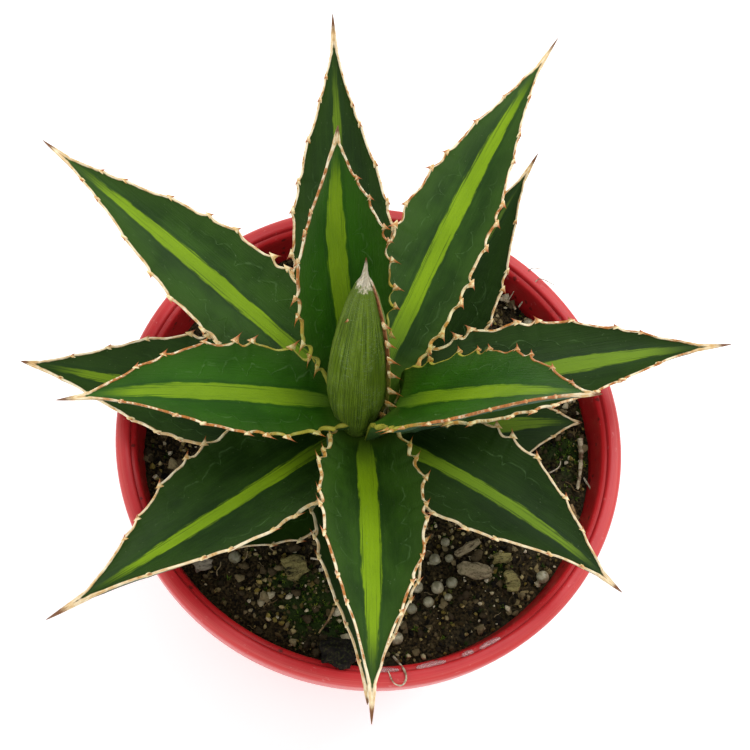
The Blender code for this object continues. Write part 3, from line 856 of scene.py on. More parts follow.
class GeometryTree:
    """A geometry node tree with named inputs; each kind lays out its own nodes."""

    title = "tree"
    inputs: tuple = ()

    def __init__(self) -> None:
        """Make the tree, its sockets and its nodes."""
        self.tree = bpy.data.node_groups.new(self.title, "GeometryNodeTree")
        face = self.tree.interface
        face.new_socket("Geometry", in_out="INPUT", socket_type="NodeSocketGeometry")
        for name, kind in self.inputs:
            face.new_socket(name, in_out="INPUT", socket_type="NodeSocket" + kind)
        face.new_socket("Geometry", in_out="OUTPUT", socket_type="NodeSocketGeometry")
        self.g = Graph(self.tree)
        self.given = self.g.node("NodeGroupInput")
        result = self.lay_out()
        result = self.g.out("GeometryNodeRealizeInstances", None, {"Geometry": result})
        dress = {"Geometry": result, "Material": self.read("Finish")}
        result = self.g.out("GeometryNodeSetMaterial", None, dress)
        self.g.node("NodeGroupOutput", None, {"Geometry": result})

    def read(self, name: str) -> Link:
        """Return one of the tree's inputs."""
        return Link(self.g, self.given.outputs[name])

    def field(self, name: str, kind: str = "FLOAT") -> Link:
        """Read a named attribute."""
        return self.g.out("GeometryNodeInputNamedAttribute", {"data_type": kind}, {"Name": name}, "Attribute")

    def store(self, geometry: Link, name: str, value: Link, domain: str) -> Link:
        """Keep a value as a named attribute.

        Args:
            geometry: the geometry that keeps it.
            name: the attribute's name.
            value: the value.
            domain: what it is kept on.

        Returns:
            The geometry with the attribute.
        """
        settings = {"data_type": "FLOAT", "domain": domain}
        names = {"Geometry": geometry, "Name": name, "Value": value}
        return self.g.out("GeometryNodeStoreNamedAttribute", settings, names)

    def chance(self, kind: Draw, low: Link | float, high: Link | float, seed: int) -> Link:
        """Draw a random value for each element, from the tree's seed and this use's own.

        Args:
            kind: what is drawn.
            low: the least value.
            high: the greatest value.
            seed: this use's own seed.

        Returns:
            The value.
        """
        node = self.g.node("FunctionNodeRandomValue", {"data_type": kind.value})
        wanted = "VALUE" if kind is Draw.FLOAT else "VECTOR"
        for name, value in (("Min", low), ("Max", high)):
            socket = next(s for s in node.inputs if s.name == name and s.type == wanted)
            if isinstance(value, Link):
                self.tree.links.new(value.socket, socket)
            else:
                socket.default_value = value
        self.tree.links.new((self.read("Seed") + seed).socket, node.inputs["Seed"])
        return Link(self.g, next(s for s in node.outputs if s.type == wanted))

    def lay_out(self) -> Link:
        """Lay the nodes out and return the geometry."""
        raise NotImplementedError

    def grow(self, name: str, base: bpy.types.Mesh, values: dict, crease: float = 50.0) -> bpy.types.Object:
        """Run the tree on a mesh and return the result as a plain mesh object.

        Args:
            name: the new piece's name.
            base: the mesh that the tree starts from.
            values: the tree's inputs by name.
            crease: edges that turn more than this many degrees stay sharp.

        Returns:
            The object, with no modifier left on it.
        """
        obj = bpy.data.objects.new(name, base)
        bpy.context.scene.collection.objects.link(obj)
        modifier = obj.modifiers.new("Grow", "NODES")
        modifier.node_group = self.tree
        for item in self.tree.interface.items_tree:
            if item.item_type == "SOCKET" and item.in_out == "INPUT" and item.name in values:
                modifier[item.identifier] = values[item.name]
        graph = bpy.context.evaluated_depsgraph_get()
        mesh = bpy.data.meshes.new_from_object(obj.evaluated_get(graph), depsgraph=graph)
        obj.modifiers.remove(modifier)
        obj.data = mesh
        mesh.name = name
        tidy_mesh(mesh, crease, False)
        return obj


class ToothTree(GeometryTree):
    """Sets one hooked, flattened horny tooth on each point of a margin."""

    title = "margin_teeth"
    inputs = (("Hook", "Float"), ("Flare", "Float"), ("Finish", "Material"))

    def lay_out(self) -> Link:
        """Bend a cone and set it on every point, turned and sized by the point's attributes.

        Returns:
            The teeth, as instances.
        """
        g = self.g
        cone = g.node("GeometryNodeMeshCone", {"fill_type": "NGON"}, {
            "Vertices": 8, "Side Segments": 5, "Radius Top": 0.04, "Radius Bottom": 1.0, "Depth": 1.0})
        tooth = Link(g, cone.outputs["Mesh"])
        at = g.out("GeometryNodeInputPosition")
        x, y, z = g.split(at)
        tooth = self.store(tooth, "tip", z, "POINT")
        thin = g.maths("POWER", 1.02 - z, self.read("Flare"))
        bent = g.vector(x * thin + z * z * self.read("Hook"), y * thin, z)
        tooth = g.out("GeometryNodeSetPosition", None, {"Geometry": tooth, "Position": bent})
        turn = g.out("FunctionNodeEulerToRotation", None, {0: self.field("turn", "FLOAT_VECTOR")})
        dots = g.out("GeometryNodeMeshToPoints", None, {"Mesh": self.read("Geometry")})
        return g.out("GeometryNodeInstanceOnPoints", None, {
            "Points": dots, "Instance": tooth, "Rotation": turn, "Scale": self.field("size", "FLOAT_VECTOR")})


class ScatterTree(GeometryTree):
    """Strews lumps or tufts over a surface, thicker where an attribute is high."""

    title = "strewn_grains"
    inputs = (
        ("Grain", "Object"), ("Density", "Float"), ("Seed", "Int"),
        ("Smallest", "Float"), ("Largest", "Float"), ("Flatness", "Float"),
        ("Tilt", "Float"), ("Sink", "Float"), ("Finish", "Material"),
    )

    def lay_out(self) -> Link:
        """Scatter points, then turn, size and shade a grain on each.

        Returns:
            The strewn grains, as instances.
        """
        g = self.g
        density = self.read("Density") * self.field("strew")
        spread = g.node("GeometryNodeDistributePointsOnFaces", {"distribute_method": "RANDOM"}, {
            "Mesh": self.read("Geometry"), "Density": density, "Seed": self.read("Seed")})
        dots = Link(g, spread.outputs["Points"])
        source, keep = {"Object": self.read("Grain")}, {"transform_space": "ORIGINAL"}
        grain = g.out("GeometryNodeObjectInfo", keep, source, "Geometry")
        tilt = self.read("Tilt")
        low = g.vector(0.0 - tilt, 0.0 - tilt, 0.0)
        high = g.vector(tilt, tilt, math.tau)
        turn = g.out("FunctionNodeEulerToRotation", None, {0: self.chance(Draw.VECTOR, low, high, 3)})
        draw = self.chance(Draw.FLOAT, 0.0, 1.0, 5)
        size = self.read("Smallest") + (self.read("Largest") - self.read("Smallest")) * draw * draw
        wide = self.chance(Draw.FLOAT, 0.7, 1.0, 7)
        scale = g.vector(size, size * wide, size * self.read("Flatness"))
        sunk = g.vector(0.0, 0.0, size * self.read("Sink") * -1.0)
        dots = g.out("GeometryNodeSetPosition", None, {"Geometry": dots, "Offset": sunk})
        strewn = g.out("GeometryNodeInstanceOnPoints", None, {
            "Points": dots, "Instance": grain, "Rotation": turn, "Scale": scale})
        return self.store(strewn, "shade", self.chance(Draw.FLOAT, 0.0, 1.0, 11), "INSTANCE")


# ---------------------------------------------------------------- the leaves


@dataclass(frozen=True)
class LeafShape:
    """One leaf: where it leaves the stem, how it runs, its outline and its margin's look."""

    name: str
    azimuth: float
    rise: float
    rise_tip: float
    swing: float
    length: float
    width: float
    fold: float
    twist: float
    height: float
    spine: float
    sheath: float = 0.0
    copper: float = 0.4
    stripe: float = 2.6
    band_left: float = 1.0
    band_right: float = 1.0
    dull: float = 0.0
    # How much painted shade darkens the leaf, for leaves that lie low under the others.
    deep: float = 0.0


LEAF_SHAPES = (
    LeafShape("leaf_01", 119.5, 62, 84, -7, 81.5, 28, 21, 3, 27.5, 7.0, 8.0, 0.7, 2.6, 1.5, 0.9, 0.2),
    LeafShape("leaf_02", 330.0, 63, 56, -10, 75.5, 30, 18, -12, 32.0, 7.0, 11.0, 0.95, 2.6, 0.9, 1.2, 0.15),
    LeafShape("leaf_03", 187.0, 25, 32, 18, 71.0, 28, 28, 7, 24.0, 9.0, 0.0, 0.75, 2.4, 1.0, 1.0, 0.15),
    LeafShape("leaf_04", 66.5, 15, 7, -8, 98.0, 27, 30, -11, 22.5, 11.0, 0.0, 0.55, 2.3),
    LeafShape("leaf_05", 269.0, 39, 21, -2, 84.5, 30, 45, -5, 17.5, 10.0, 0.0, 0.55, 2.5),
    LeafShape("leaf_06", 145.0, 21, 14, 2, 92.5, 30, 31, 1, 18.0, 8.0, 0.0, 0.2, 2.0, 1.0, 1.1),
    LeafShape("leaf_07", 13.5, 14, -6, -3, 86.5, 30, 43, -7, 14.5, 10.0, 0.0, 0.6, 2.4, 1.0, 1.0, 0.5, 0.85),
    LeafShape("leaf_08", 220.0, 16, 14, -2, 82.0, 36, 39, 17, 10.5, 12.0, 0.0, 0.2, 1.8, 1.1, 0.9, 0.1, 0.6),
    LeafShape("leaf_09", 327.0, 20, 6, -12, 69.0, 34, 31, -9, 7.5, 7.0, 0.0, 0.2, 1.8, 1.1, 1.0, 0.5, 1.0),
    LeafShape("leaf_10", 97.5, 18, 29, -2, 93.5, 32, 43, -13, 7.0, 10.0, 0.0, 0.4, 1.8, 1.0, 1.0, 0.6, 0.7),
    LeafShape("leaf_11", 171.0, 7, -6, -3, 81.5, 36, 42, 2, 1.0, 5.0, 0.0, 0.15, 2.0, 1.3, 1.0, 0.3, 0.6),
    LeafShape("leaf_12", 57.0, 9, 18, 3, 79.5, 31, 38, 4, -2.0, 9.0, 0.0, 0.3, 0.9, 1.0, 1.0, 0.9, 0.9),
    LeafShape("leaf_13", 271.0, 34, 27, -6, 81.0, 32, 39, -5, -2.0, 5.0, 0.0, 0.15, 1.7, 1.0, 1.2, 0.4, 0.8),
    LeafShape("leaf_14", 8.0, 8, -11, -2, 55.5, 32, 18, 6, -7.0, 3.0, 0.0, 0.3, 2.3, 1.0, 1.0, 0.6, 0.9),
    LeafShape("leaf_15", 223.0, 6, 7, -2, 42.5, 28, 29, -6, -8.0, 4.0, 0.0, 0.2, 1.8, 1.0, 1.0, 0.6, 0.8),
)
INNER_LEAVES = 3


@dataclass
class Leaf:
    """Builds one leaf's blade with its bead and spine, and its margin teeth."""

    shape: LeafShape
    number: int
    stations: int = 170
    spine_stations: int = 12
    across: int = 27
    beneath: int = 13
    offset: float = 7.6
    clasp: float = 5.0
    tooth_gap: float = 7.0
    tooth_length: float = 4.0
    toothed: tuple = (0.07, 0.95)
    scallop: float = 1.7
    half_width: Table = (
        (0, 0.62), (0.12, 0.76), (0.3, 0.965), (0.5, 0.915), (0.7, 0.63), (0.87, 0.285), (1, 0.05),
    )
    folding: Table = ((0, 2.1), (0.12, 1.35), (0.3, 1.02), (0.6, 1.0), (1, 1.5))
    thickness: Table = ((0, 5.6), (0.15, 4.6), (0.4, 3.0), (0.8, 1.9), (1, 1.2))

    def middle_line(self) -> tuple[np.ndarray, ...]:
        """Walk the middle line from the sheath's foot to the spine's point.

        Returns:
            Fractions (over 1 on the spine), points, along, side and up directions, and fullness.
        """
        shape = self.shape
        s = np.linspace(0.0, 1.0, self.stations)
        azimuths = np.radians(shape.azimuth + shape.swing * s**2)
        rises = np.radians(shape.rise + (shape.rise_tip - shape.rise) * s)
        level = np.cos(rises)
        along = np.stack([level * np.cos(azimuths), level * np.sin(azimuths), np.sin(rises)], -1)
        steps = (along[1:] + along[:-1]) / 2 * shape.length / (self.stations - 1)
        start = np.array([
            STEM[0] + self.offset * math.cos(azimuths[0]), STEM[1] + self.offset * math.sin(azimuths[0]),
            POT_HEIGHT + shape.height,
        ])
        points = np.vstack([start, start + np.cumsum(steps, 0)])
        side = np.stack([-np.sin(azimuths), np.cos(azimuths), 0 * azimuths], -1)
        up = np.cross(along, side)
        twist = np.radians(shape.twist * np.clip(s / 0.3, 0, 1))[:, None]
        sides = side * np.cos(twist) + up * np.sin(twist)
        ups = up * np.cos(twist) - side * np.sin(twist)
        t = np.linspace(0, 1, self.spine_stations + 1)[1:]
        points = np.vstack([points, points[-1] + along[-1] * (shape.spine * t)[:, None]])
        repeat = (self.spine_stations, 1)
        along = np.vstack([along, np.tile(along[-1], repeat)])
        sides = np.vstack([sides, np.tile(sides[-1], repeat)])
        ups = np.vstack([ups, np.tile(ups[-1], repeat)])
        s = np.concatenate([s, 1 + t])
        fullness = np.ones(len(s))
        if not shape.sheath:
            count = 6
            back = (self.clasp * (1 - np.arange(count) / count))[:, None]
            points = np.vstack([points[0] - along[0] * back, points])
            along, sides, ups = (np.vstack([np.tile(v[0], (count, 1)), v]) for v in (along, sides, ups))
            s = np.concatenate([np.zeros(count), s])
            fullness = np.concatenate([0.5 + 0.5 * np.arange(count) / count, fullness])
        else:
            count = 8
            down = np.zeros((count, 3))
            down[:, 2] = -shape.sheath * (1 - np.arange(count) / count)
            points = np.vstack([points[0] + down, points])
            upright = np.tile([0.0, 0.0, 1.0], (count, 1))
            flat = np.tile(side[0], (count, 1))
            along = np.vstack([upright, along])
            sides = np.vstack([flat, sides])
            ups = np.vstack([np.cross(upright, flat), ups])
            s = np.concatenate([np.zeros(count), s])
            fullness = np.concatenate([0.35 + 0.65 * np.arange(count) / count, fullness])
        return s, points, along, sides, ups, fullness

    def outline(self, s: np.ndarray, run: np.ndarray, left: bool) -> tuple[np.ndarray, np.ndarray]:
        """Return the scalloped half width along one margin, and where its teeth stand.

        Args:
            s: the stations' fractions of the length.
            run: how far along each station lies.
            left: whether this is the left margin.

        Returns:
            The half width and the count of teeth passed, at each station.
        """
        shape = self.shape
        half = eased(self.half_width, s) * shape.width / 2
        spine = np.clip(s - 1, 0, 1)
        half = np.where(s > 1, half * (1 - spine) ** 0.85 + 0.07, half)
        gap = self.tooth_gap * (0.85 + 0.75 * np.clip(s, 0, 1))
        rng = random.Random(self.number * 2 + left)
        beat = np.cumsum(np.gradient(run) / gap) + rng.random()
        sway = 0.2 * np.sin(beat * 2.4 + rng.random() * 6)
        beat = beat + sway + 0.1 * np.sin(beat * 5.1 + rng.random() * 6)
        depth = self.scallop * np.clip(1.25 - 1.15 * s, 0.0, 1) * np.clip(s / 0.1, 0, 1)
        cusp = 1 - np.abs(np.sin(math.pi * beat)) ** 0.75
        return half + depth * (cusp - 0.42), beat

    def build(self, finish: Finish) -> tuple[bpy.types.Object, bpy.types.Object | None]:
        """Loft the blade, then set its teeth.

        Args:
            finish: the blade's finish.

        Returns:
            The blade and its teeth.
        """
        shape = self.shape
        s, centres, along, sides, ups, fullness = self.middle_line()
        step = np.linalg.norm(np.diff(centres, axis=0), axis=1)
        run = np.concatenate([[0.0], np.cumsum(step)])
        right, beat_right = self.outline(s, run, False)
        left, beat_left = self.outline(s, run, True)
        clipped = np.clip(s, 0, 1)
        fold = np.radians(shape.fold * eased(self.folding, clipped))
        thick = eased(self.thickness, clipped) * shape.width / 30 * fullness
        thick = np.where(s > 1, thick * (1.02 - np.clip(s - 1, 0, 1)) ** 0.8, thick)
        t = np.linspace(-1, 1, self.across)
        u_top = np.sign(t) * (1 - (1 - np.abs(t)) ** 1.35)
        u_low = np.linspace(0.97, -0.97, self.beneath)
        bead = np.maximum(thick * 0.06, 0.16 * np.clip(2.0 - s, 0.15, 1))
        keys = ("across_mm", "edge_mm", "run_mm", "along", "under", "band_mm", "copper", "tone",
                "stripe_mm", "dull", "deep")
        data: dict[str, list] = {key: [] for key in keys}
        stripe = shape.stripe * np.clip(0.45 + s * 4.5, 0, 1) * np.clip((1.04 - s) * 2.3, 0, 1) ** 0.75
        points: list = []
        for i in range(len(s)):
            ring = []
            halves = {1: left[i], -1: right[i]}
            bands = {1: shape.band_left, -1: shape.band_right}

            def spot(u: float, lift: float) -> np.ndarray:
                """Return a place on the section: u across, lift along the surface's own normal."""
                half = halves[1 if u >= 0 else -1]
                angle = fold[i] * u
                wave = 0.32 * math.sin(math.tau * (beat_left if u >= 0 else beat_right)[i] + 1.2)
                fade = abs(u) ** 4 * min(1.0, s[i] * 5) * max(0.0, 1 - s[i])
                x = half * math.sin(angle) / fold[i] - lift * math.sin(angle)
                z = half * (1 - math.cos(angle)) / fold[i] + lift * math.cos(angle) + wave * fade
                return centres[i] + sides[i] * x + ups[i] * z

            def note(u: float, edge: float, under: float) -> None:
                """Keep the values the finish reads."""
                half = halves[1 if u >= 0 else -1]
                band = bands[1 if u >= 0 else -1]
                band *= min(1.0, s[i] * 28)
                band = band * (0.8 + 0.35 * clipped[i]) + 3 * max(0, s[i] - 1)
                row = (u * half, edge, run[i], s[i], under, band, shape.copper,
                       self.number / len(LEAF_SHAPES), stripe[i], shape.dull, shape.deep)
                for key, value in zip(keys, row):
                    data[key].append(value)

            for u in u_top:
                edge = halves[1 if u >= 0 else -1] * (1 - abs(u))
                swell = 0.13 * math.exp(-((edge - 0.22) / 0.22) ** 2) * min(1.0, max(0.0, 1.6 - s[i]))
                ring.append(spot(u, swell))
                note(u, edge, 0.0)
            for sign, rows in ((1, (0.25, 0.5, 0.75)), (-1, (0.75, 0.5, 0.25))):
                if sign == -1:
                    for u in u_low:
                        ring.append(spot(u, -thick[i] * (1 - 0.78 * u * u)))
                        note(u, halves[1 if u >= 0 else -1] * (1 - abs(u)) + 0.15, 1.0)
                angle = fold[i]
                out = sides[i] * math.cos(angle) * sign + ups[i] * math.sin(angle)
                low = spot(sign, -max(thick[i] * 0.22, 2 * bead[i]))
                high = spot(sign, 0.0)
                for part in rows:
                    ring.append(high + (low - high) * part + out * bead[i] * math.sin(math.pi * part))
                    note(sign, 0.0, 0.0)
            points.extend(ring)
        count = self.across + self.beneath + 6
        faces = [tuple(range(count))[::-1]]
        faces += skin(count, len(s))
        faces.append(tuple((len(s) - 1) * count + k for k in range(count)))
        blade = new_piece(f"{shape.name}_blade", points, faces, finish, data, 60)
        margins = ((1, left, beat_left), (-1, right, beat_right))
        teeth = [row for sign, half, beat in margins
                 for row in self.tooth_rows(sign, half, beat, s, centres, along, sides, ups, fold)]
        return blade, set_teeth(f"{shape.name}_teeth", teeth)

    def tooth_rows(self, sign: int, half: np.ndarray, beat: np.ndarray, s: np.ndarray, centres: np.ndarray,
                   along: np.ndarray, sides: np.ndarray, ups: np.ndarray, fold: np.ndarray) -> list:
        """Stand a tooth on each of one margin's prominences.

        Args:
            sign: 1 for the left margin, -1 for the right.
            half: the half width at each station.
            beat: the count of teeth passed at each station.
            s: the stations' fractions of the length.
            centres: the middle line's points.
            along: the middle line's directions.
            sides: the directions across the blade.
            ups: the directions off the blade's face.
            fold: the section's half angle at each station.

        Returns:
            Rows of foot, aim, hook direction, size, age and copper.
        """
        rows = []
        rng = random.Random(self.number * 31 + sign)
        for i in range(1, len(s)):
            if math.floor(beat[i]) == math.floor(beat[i - 1]) or not self.toothed[0] < s[i] < self.toothed[1]:
                continue
            angle = fold[i]
            x = half[i] * math.sin(angle) / angle
            z = half[i] * (1 - math.cos(angle)) / angle
            out = sides[i] * math.cos(angle) * sign + ups[i] * math.sin(angle)
            hook = (0.62 - 0.5 * s[i]) * rng.uniform(0.5, 1.3)
            aim = out - along[i] * hook + ups[i] * rng.uniform(-0.05, 0.25)
            length = self.tooth_length * (1.05 - 0.72 * s[i]) * rng.uniform(0.75, 1.2)
            foot = centres[i] + sides[i] * x * sign + ups[i] * (z - 0.18) - out * 0.3
            size = (1.7 * (1.1 - 0.6 * s[i]), 0.5, length)
            rows.append((foot, aim, -along[i], size, s[i], self.shape.copper))
        return rows


def set_teeth(name: str, rows: list) -> bpy.types.Object | None:
    """Grow teeth on rows of foot, aim, hook direction, size, age and copper, all in millimetres.

    Args:
        name: the new piece's name.
        rows: the teeth.

    Returns:
        The piece, or None where there are no teeth.
    """
    if not rows:
        return None
    mesh = bpy.data.meshes.new(name)
    mesh.from_pydata([tuple(row[0] * MM) for row in rows], [], [])
    turns, sizes = [], []
    for _, aim, hook, size, *_ in rows:
        z = Vector(aim).normalized()
        x = Vector(hook)
        x = (x - z * x.dot(z)).normalized()
        turns.extend(Matrix((x, z.cross(x), z)).transposed().to_euler())
        sizes.extend(c * MM for c in size)
    for key, kind, values in (("turn", "FLOAT_VECTOR", turns), ("size", "FLOAT_VECTOR", sizes)):
        mesh.attributes.new(key, kind, "POINT").data.foreach_set("vector", values)
    for key, column in (("age", 4), ("copper", 5)):
        mesh.attributes.new(key, "FLOAT", "POINT").data.foreach_set("value", [row[column] for row in rows])
    values = {"Hook": 0.7, "Flare": 1.5, "Finish": ToothFinish().material()}
    return TREES["teeth"].grow(name, mesh, values)


@dataclass
class Bud:
    """The furled young leaves at the heart: one lapped round the others, drawn out to a spine."""

    foot: tuple = (STEM[0] - 2.2, STEM[1] - 6.0, POT_HEIGHT + 11.5)
    tip: tuple = (-10.5, 9.5, POT_HEIGHT + 87.0)
    girth: Table = (
        (0, 1.2), (0.08, 3.7), (0.2, 6.4), (0.34, 7.9), (0.5, 7.3), (0.66, 5.7), (0.78, 3.9),
        (0.865, 2.2), (0.91, 0.95), (1, 0.12),
    )
    lap: float = math.radians(-20)
    lap_teeth: tuple = (0.2, 0.28, 0.36, 0.45, 0.53, 0.61, 0.7)
    left_tooth: float = 0.74
    girdle: float = 46.0
    stations: int = 130
    around: int = 110

    def build(self) -> tuple[bpy.types.Object, bpy.types.Object | None]:
        """Loft the bud and set the teeth down the lap's margin.

        Returns:
            The bud and its teeth.
        """
        foot, tip = np.array(self.foot), np.array(self.tip)
        length = float(np.linalg.norm(tip - foot))
        places = np.linspace(0, 1, self.stations) ** 0.92
        girths = eased(self.girth, places)
        points: list = []
        data: dict[str, list] = {key: [] for key in ("along", "turn_mm", "edge_mm", "run_mm")}
        teeth = []
        for i, (s, girth) in enumerate(zip(places, girths)):
            centre = foot + (tip - foot) * s
            for k in range(self.around):
                turn = min(k / (self.around - 2), 1.0)
                angle = self.lap + math.tau * turn
                radius = girth * (1.05 - 0.1 * turn)
                if k == self.around - 1:
                    radius = girth * 0.95 - 0.25 * min(1.0, girth / 3)
                    angle = self.lap + 0.02
                rib = 0.1 * wobble(14 * math.cos(angle), 14 * math.sin(angle), s * 3, 1.0) * min(1, girth / 3)
                seam = 0.3 * math.exp(-((turn - 0.52) / 0.012) ** 2) * min(1.0, girth / 4)
                lip = 0.22 * math.exp(-(turn / 0.012) ** 2) * min(1.0, girth / 4)
                radius += rib - seam + lip
                radius += 0.12 * wobble(s * 22, math.cos(angle) * 2, math.sin(angle) * 2, 1.0)
                radius = max(radius, 0.08)
                points.append(centre + np.array((radius * math.cos(angle), radius * math.sin(angle), 0)))
                edge = turn * math.tau * girth if k < self.around - 1 else 0.0
                for key, value in zip(data, (s, turn * self.girdle, edge, s * length)):
                    data[key].append(value)
            if any(places[i - 1] < spot <= s for spot in self.lap_teeth if i):
                out = np.array((math.cos(self.lap), math.sin(self.lap), 0))
                aim = np.array((0.9, -0.4, 0.35))
                size = (1.9, 0.6, 6.2 - 4.8 * s)
                teeth.append((centre + out * girth * 1.05, aim, np.array((0, 0, -1.0)), size, s * 0.8, 0.8))
            if i and places[i - 1] < self.left_tooth <= s:
                side = np.array((-0.8, -0.6, 0.0))
                aim = side + np.array((0, 0, 0.2))
                down = np.array((0, 0, -1.0))
                teeth.append((centre + side * girth * 0.95, aim, down, (0.7, 0.35, 1.3), 0.8, 1.0))
        faces = [tuple(range(self.around))[::-1]]
        count = self.around
        faces += skin(count, self.stations)
        faces.append(tuple((self.stations - 1) * count + k for k in range(count)))
        return new_piece("bud_leaves", points, faces, BudFinish(), data, 50), set_teeth("bud_teeth", teeth)


@dataclass
class Rosette:
    """The whole plant: stem, bud and leaves."""

    stem_profile: tuple = (
        (0.0, 21.5), (5.2, 21.5), (6.1, 20.0), (6.25, 8.0), (6.4, -4.0), (7.2, -13.0),
        (6.8, -21.2), (5.0, -25.2), (0.0, -25.2),
    )

    def build_stem(self) -> bpy.types.Object:
        """Turn the stem, with the ridges that old leaves left.

        Returns:
            The stem.
        """
        rows = []
        for (r0, z0), (r1, z1) in zip(self.stem_profile, self.stem_profile[1:]):
            parts = max(1, int(abs(z1 - z0) / 0.8))
            rows += [(r0 + (r1 - r0) * p / parts, z0 + (z1 - z0) * p / parts) for p in range(parts)]
        rows.append(self.stem_profile[-1])
        ridged = [
            (max(0.0, r - 0.18 * (1 - math.cos(z * 2.4))) if r else 0.0, z + POT_HEIGHT)
            for r, z in rows
        ]
        points, faces = lathe(ridged, 48)
        points = [(x + STEM[0], y + STEM[1], z) for x, y, z in points]
        return new_piece("stem_core", points, faces, StemFinish())

    def build(self) -> None:
        """Build the stem, the bud and every leaf, from the heart out."""
        place_on(self.build_stem(), "stem", slot="stem_pale")
        bud, teeth = Bud().build()
        place_on(bud, "bud", slot="bud_green")
        place_on(teeth, slot="bud_green")
        inner = LeafFinish("leaf_inner", "204a06", "2c5a0a", "33551a", "6a8c10", "527420", 0.9)
        outer = LeafFinish()
        for number, shape in enumerate(LEAF_SHAPES, 1):
            near = number <= INNER_LEAVES
            blade, teeth = Leaf(shape, number).build(inner if near else outer)
            slot = "leaf_inner" if near else "leaf_outer"
            place_on(blade, shape.name, slot=slot)
            if teeth:
                place_on(teeth, slot=slot)


# ---------------------------------------------------------------- the pot and what it holds


@dataclass
class Pot:
    """The nursery pot: rolled lip, skirt, tapered wall, and a floor with drain holes."""

    base_radius: float = 49.0
    inner_top: float = 64.6
    wall: float = 1.9
    floor: float = 3.0
    drains: int = 8
    drain_radius: float = 5.0
    drain_circle: float = 37.0
    channel_width: float = 7.0
    channel_depth: float = 1.2
    steps: int = 216

    def inner_radius(self, height: float) -> float:
        """Return the inner wall's radius at a height above the base."""
        foot = self.base_radius - self.wall
        return foot + (self.inner_top - foot) * (height - self.floor) / (POT_HEIGHT - self.floor)

    def profile(self) -> list:
        """Return the section as (radius, height), from the floor's top round the lip to the base.

        Returns:
            Pairs of radius and height.
        """
        top = POT_HEIGHT
        rows = [(0.0, self.floor), (20.0, self.floor), (self.base_radius - self.wall - 1.0, self.floor),
                (self.base_radius - self.wall - 0.25, self.floor + 0.3),
                (self.base_radius - self.wall, self.floor + 1.2)]
        rows += [(self.inner_radius(z), z) for z in (12, 30, 50, 70, 85, 95, 100, top - 1.9)]
        rows += [(self.inner_radius(top) + 0.05, top - 1.4), (65.3, top - 1.2)]
        rows += [(65.8, top - 1.1), (65.95, top - 0.8)]
        rows += [(66.1, top - 0.35), (66.4, top - 0.1), (66.9, top), (67.7, top), (68.4, top - 0.08)]
        rows += [
            (68.4 + 1.58 * math.sin(a), top - 1.75 + 1.67 * math.cos(a))
            for a in np.radians((14, 28, 42, 56, 70, 84))
        ]
        rows += [(RIM_RADIUS, top - 1.9), (69.8, top - 5), (69.45, top - 8.6), (69.2, top - 8.95)]
        rows += [(68.9, top - 9.0), (68.0, top - 9.0), (67.85, top - 8.8), (67.3, top - 4)]
        rows += [(67.2, top - 2.8), (66.9, top - 2.6)]
        outer = [(66.6, top - 3.0), (66.5, top - 3.4)]
        outer += [(66.6 + (self.base_radius - 66.6) * p, 101 - 99 * p) for p in np.linspace(0.06, 1, 14)]
        rows += outer
        rows += [(48.85, 1.2), (48.4, 0.6), (47.9, 0.15), (47.2, 0.0), (20.0, 0.0), (0.0, 0.0)]
        return rows

    def build(self) -> bpy.types.Object:
        """Turn the pot, then open its drain holes and the channels under its floor.

        Returns:
            The pot.
        """
        points, faces = lathe(self.profile(), self.steps)
        pot = new_piece("pot_shell", points, faces, PotFinish(), None, 50)
        for cutter in (self.drain_cutter(), self.channel_cutter()):
            boolean = pot.modifiers.new("Open", "BOOLEAN")
            boolean.operation = "DIFFERENCE"
            boolean.solver = "EXACT"
            boolean.object = cutter
            graph = bpy.context.evaluated_depsgraph_get()
            mesh = bpy.data.meshes.new_from_object(pot.evaluated_get(graph), depsgraph=graph)
            pot.modifiers.remove(boolean)
            pot.data = mesh
            bpy.data.objects.remove(cutter, do_unlink=True)
        tidy_mesh(pot.data, 40, False)
        return pot

    def drain_cutter(self) -> bpy.types.Object:
        """Stand a round cutter at each drain hole.

        Returns:
            The cutter.
        """
        return self.cutter("drain_cutter", [
            (self.drain_circle + self.drain_radius * math.cos(a), self.drain_radius * math.sin(a))
            for a in np.linspace(0, math.tau, 40, endpoint=False)], -6.0, 6.0)

    def channel_cutter(self) -> bpy.types.Object:
        """Lay a square cutter out from each drain hole.

        Returns:
            The cutter.
        """
        half, end = self.channel_width / 2, self.base_radius + 4
        corners = [(self.drain_circle, -half), (end, -half), (end, half), (self.drain_circle, half)]
        return self.cutter("channel_cutter", corners, -self.channel_depth, self.channel_depth)

    def cutter(self, name: str, outline: list, low: float, high: float) -> bpy.types.Object:
        """Stand a prism on every drain's direction.

        Args:
            name: the cutter's name.
            outline: its outline as seen from above, for the drain on +X.
            low: its bottom.
            high: its top.

        Returns:
            The cutter.
        """
        points, faces, count = [], [], len(outline)
        for i in range(self.drains):
            angle = math.tau * (i + 0.5) / self.drains
            first = len(points)
            c, s = math.cos(angle), math.sin(angle)
            for z in (low, high):
                points += [(x * c - y * s, x * s + y * c, z) for x, y in outline]
            faces.append([first + k for k in range(count)][::-1])
            faces.append([first + count + k for k in range(count)])
            for k in range(count):
                n = (k + 1) % count
                faces.append((first + k, first + n, first + count + n, first + count + k))
        return new_piece(name, points, faces, PotFinish())


def soil_height(x: float, y: float) -> float:
    """Return the soil's height at a place, in millimetres above the ground."""
    waves = 0.7 * math.sin(x / 9 + 1.0) * math.cos(y / 11) + 0.45 * math.sin((x + y) / 6.5)
    return SOIL_LEVEL + waves + 0.015 * x


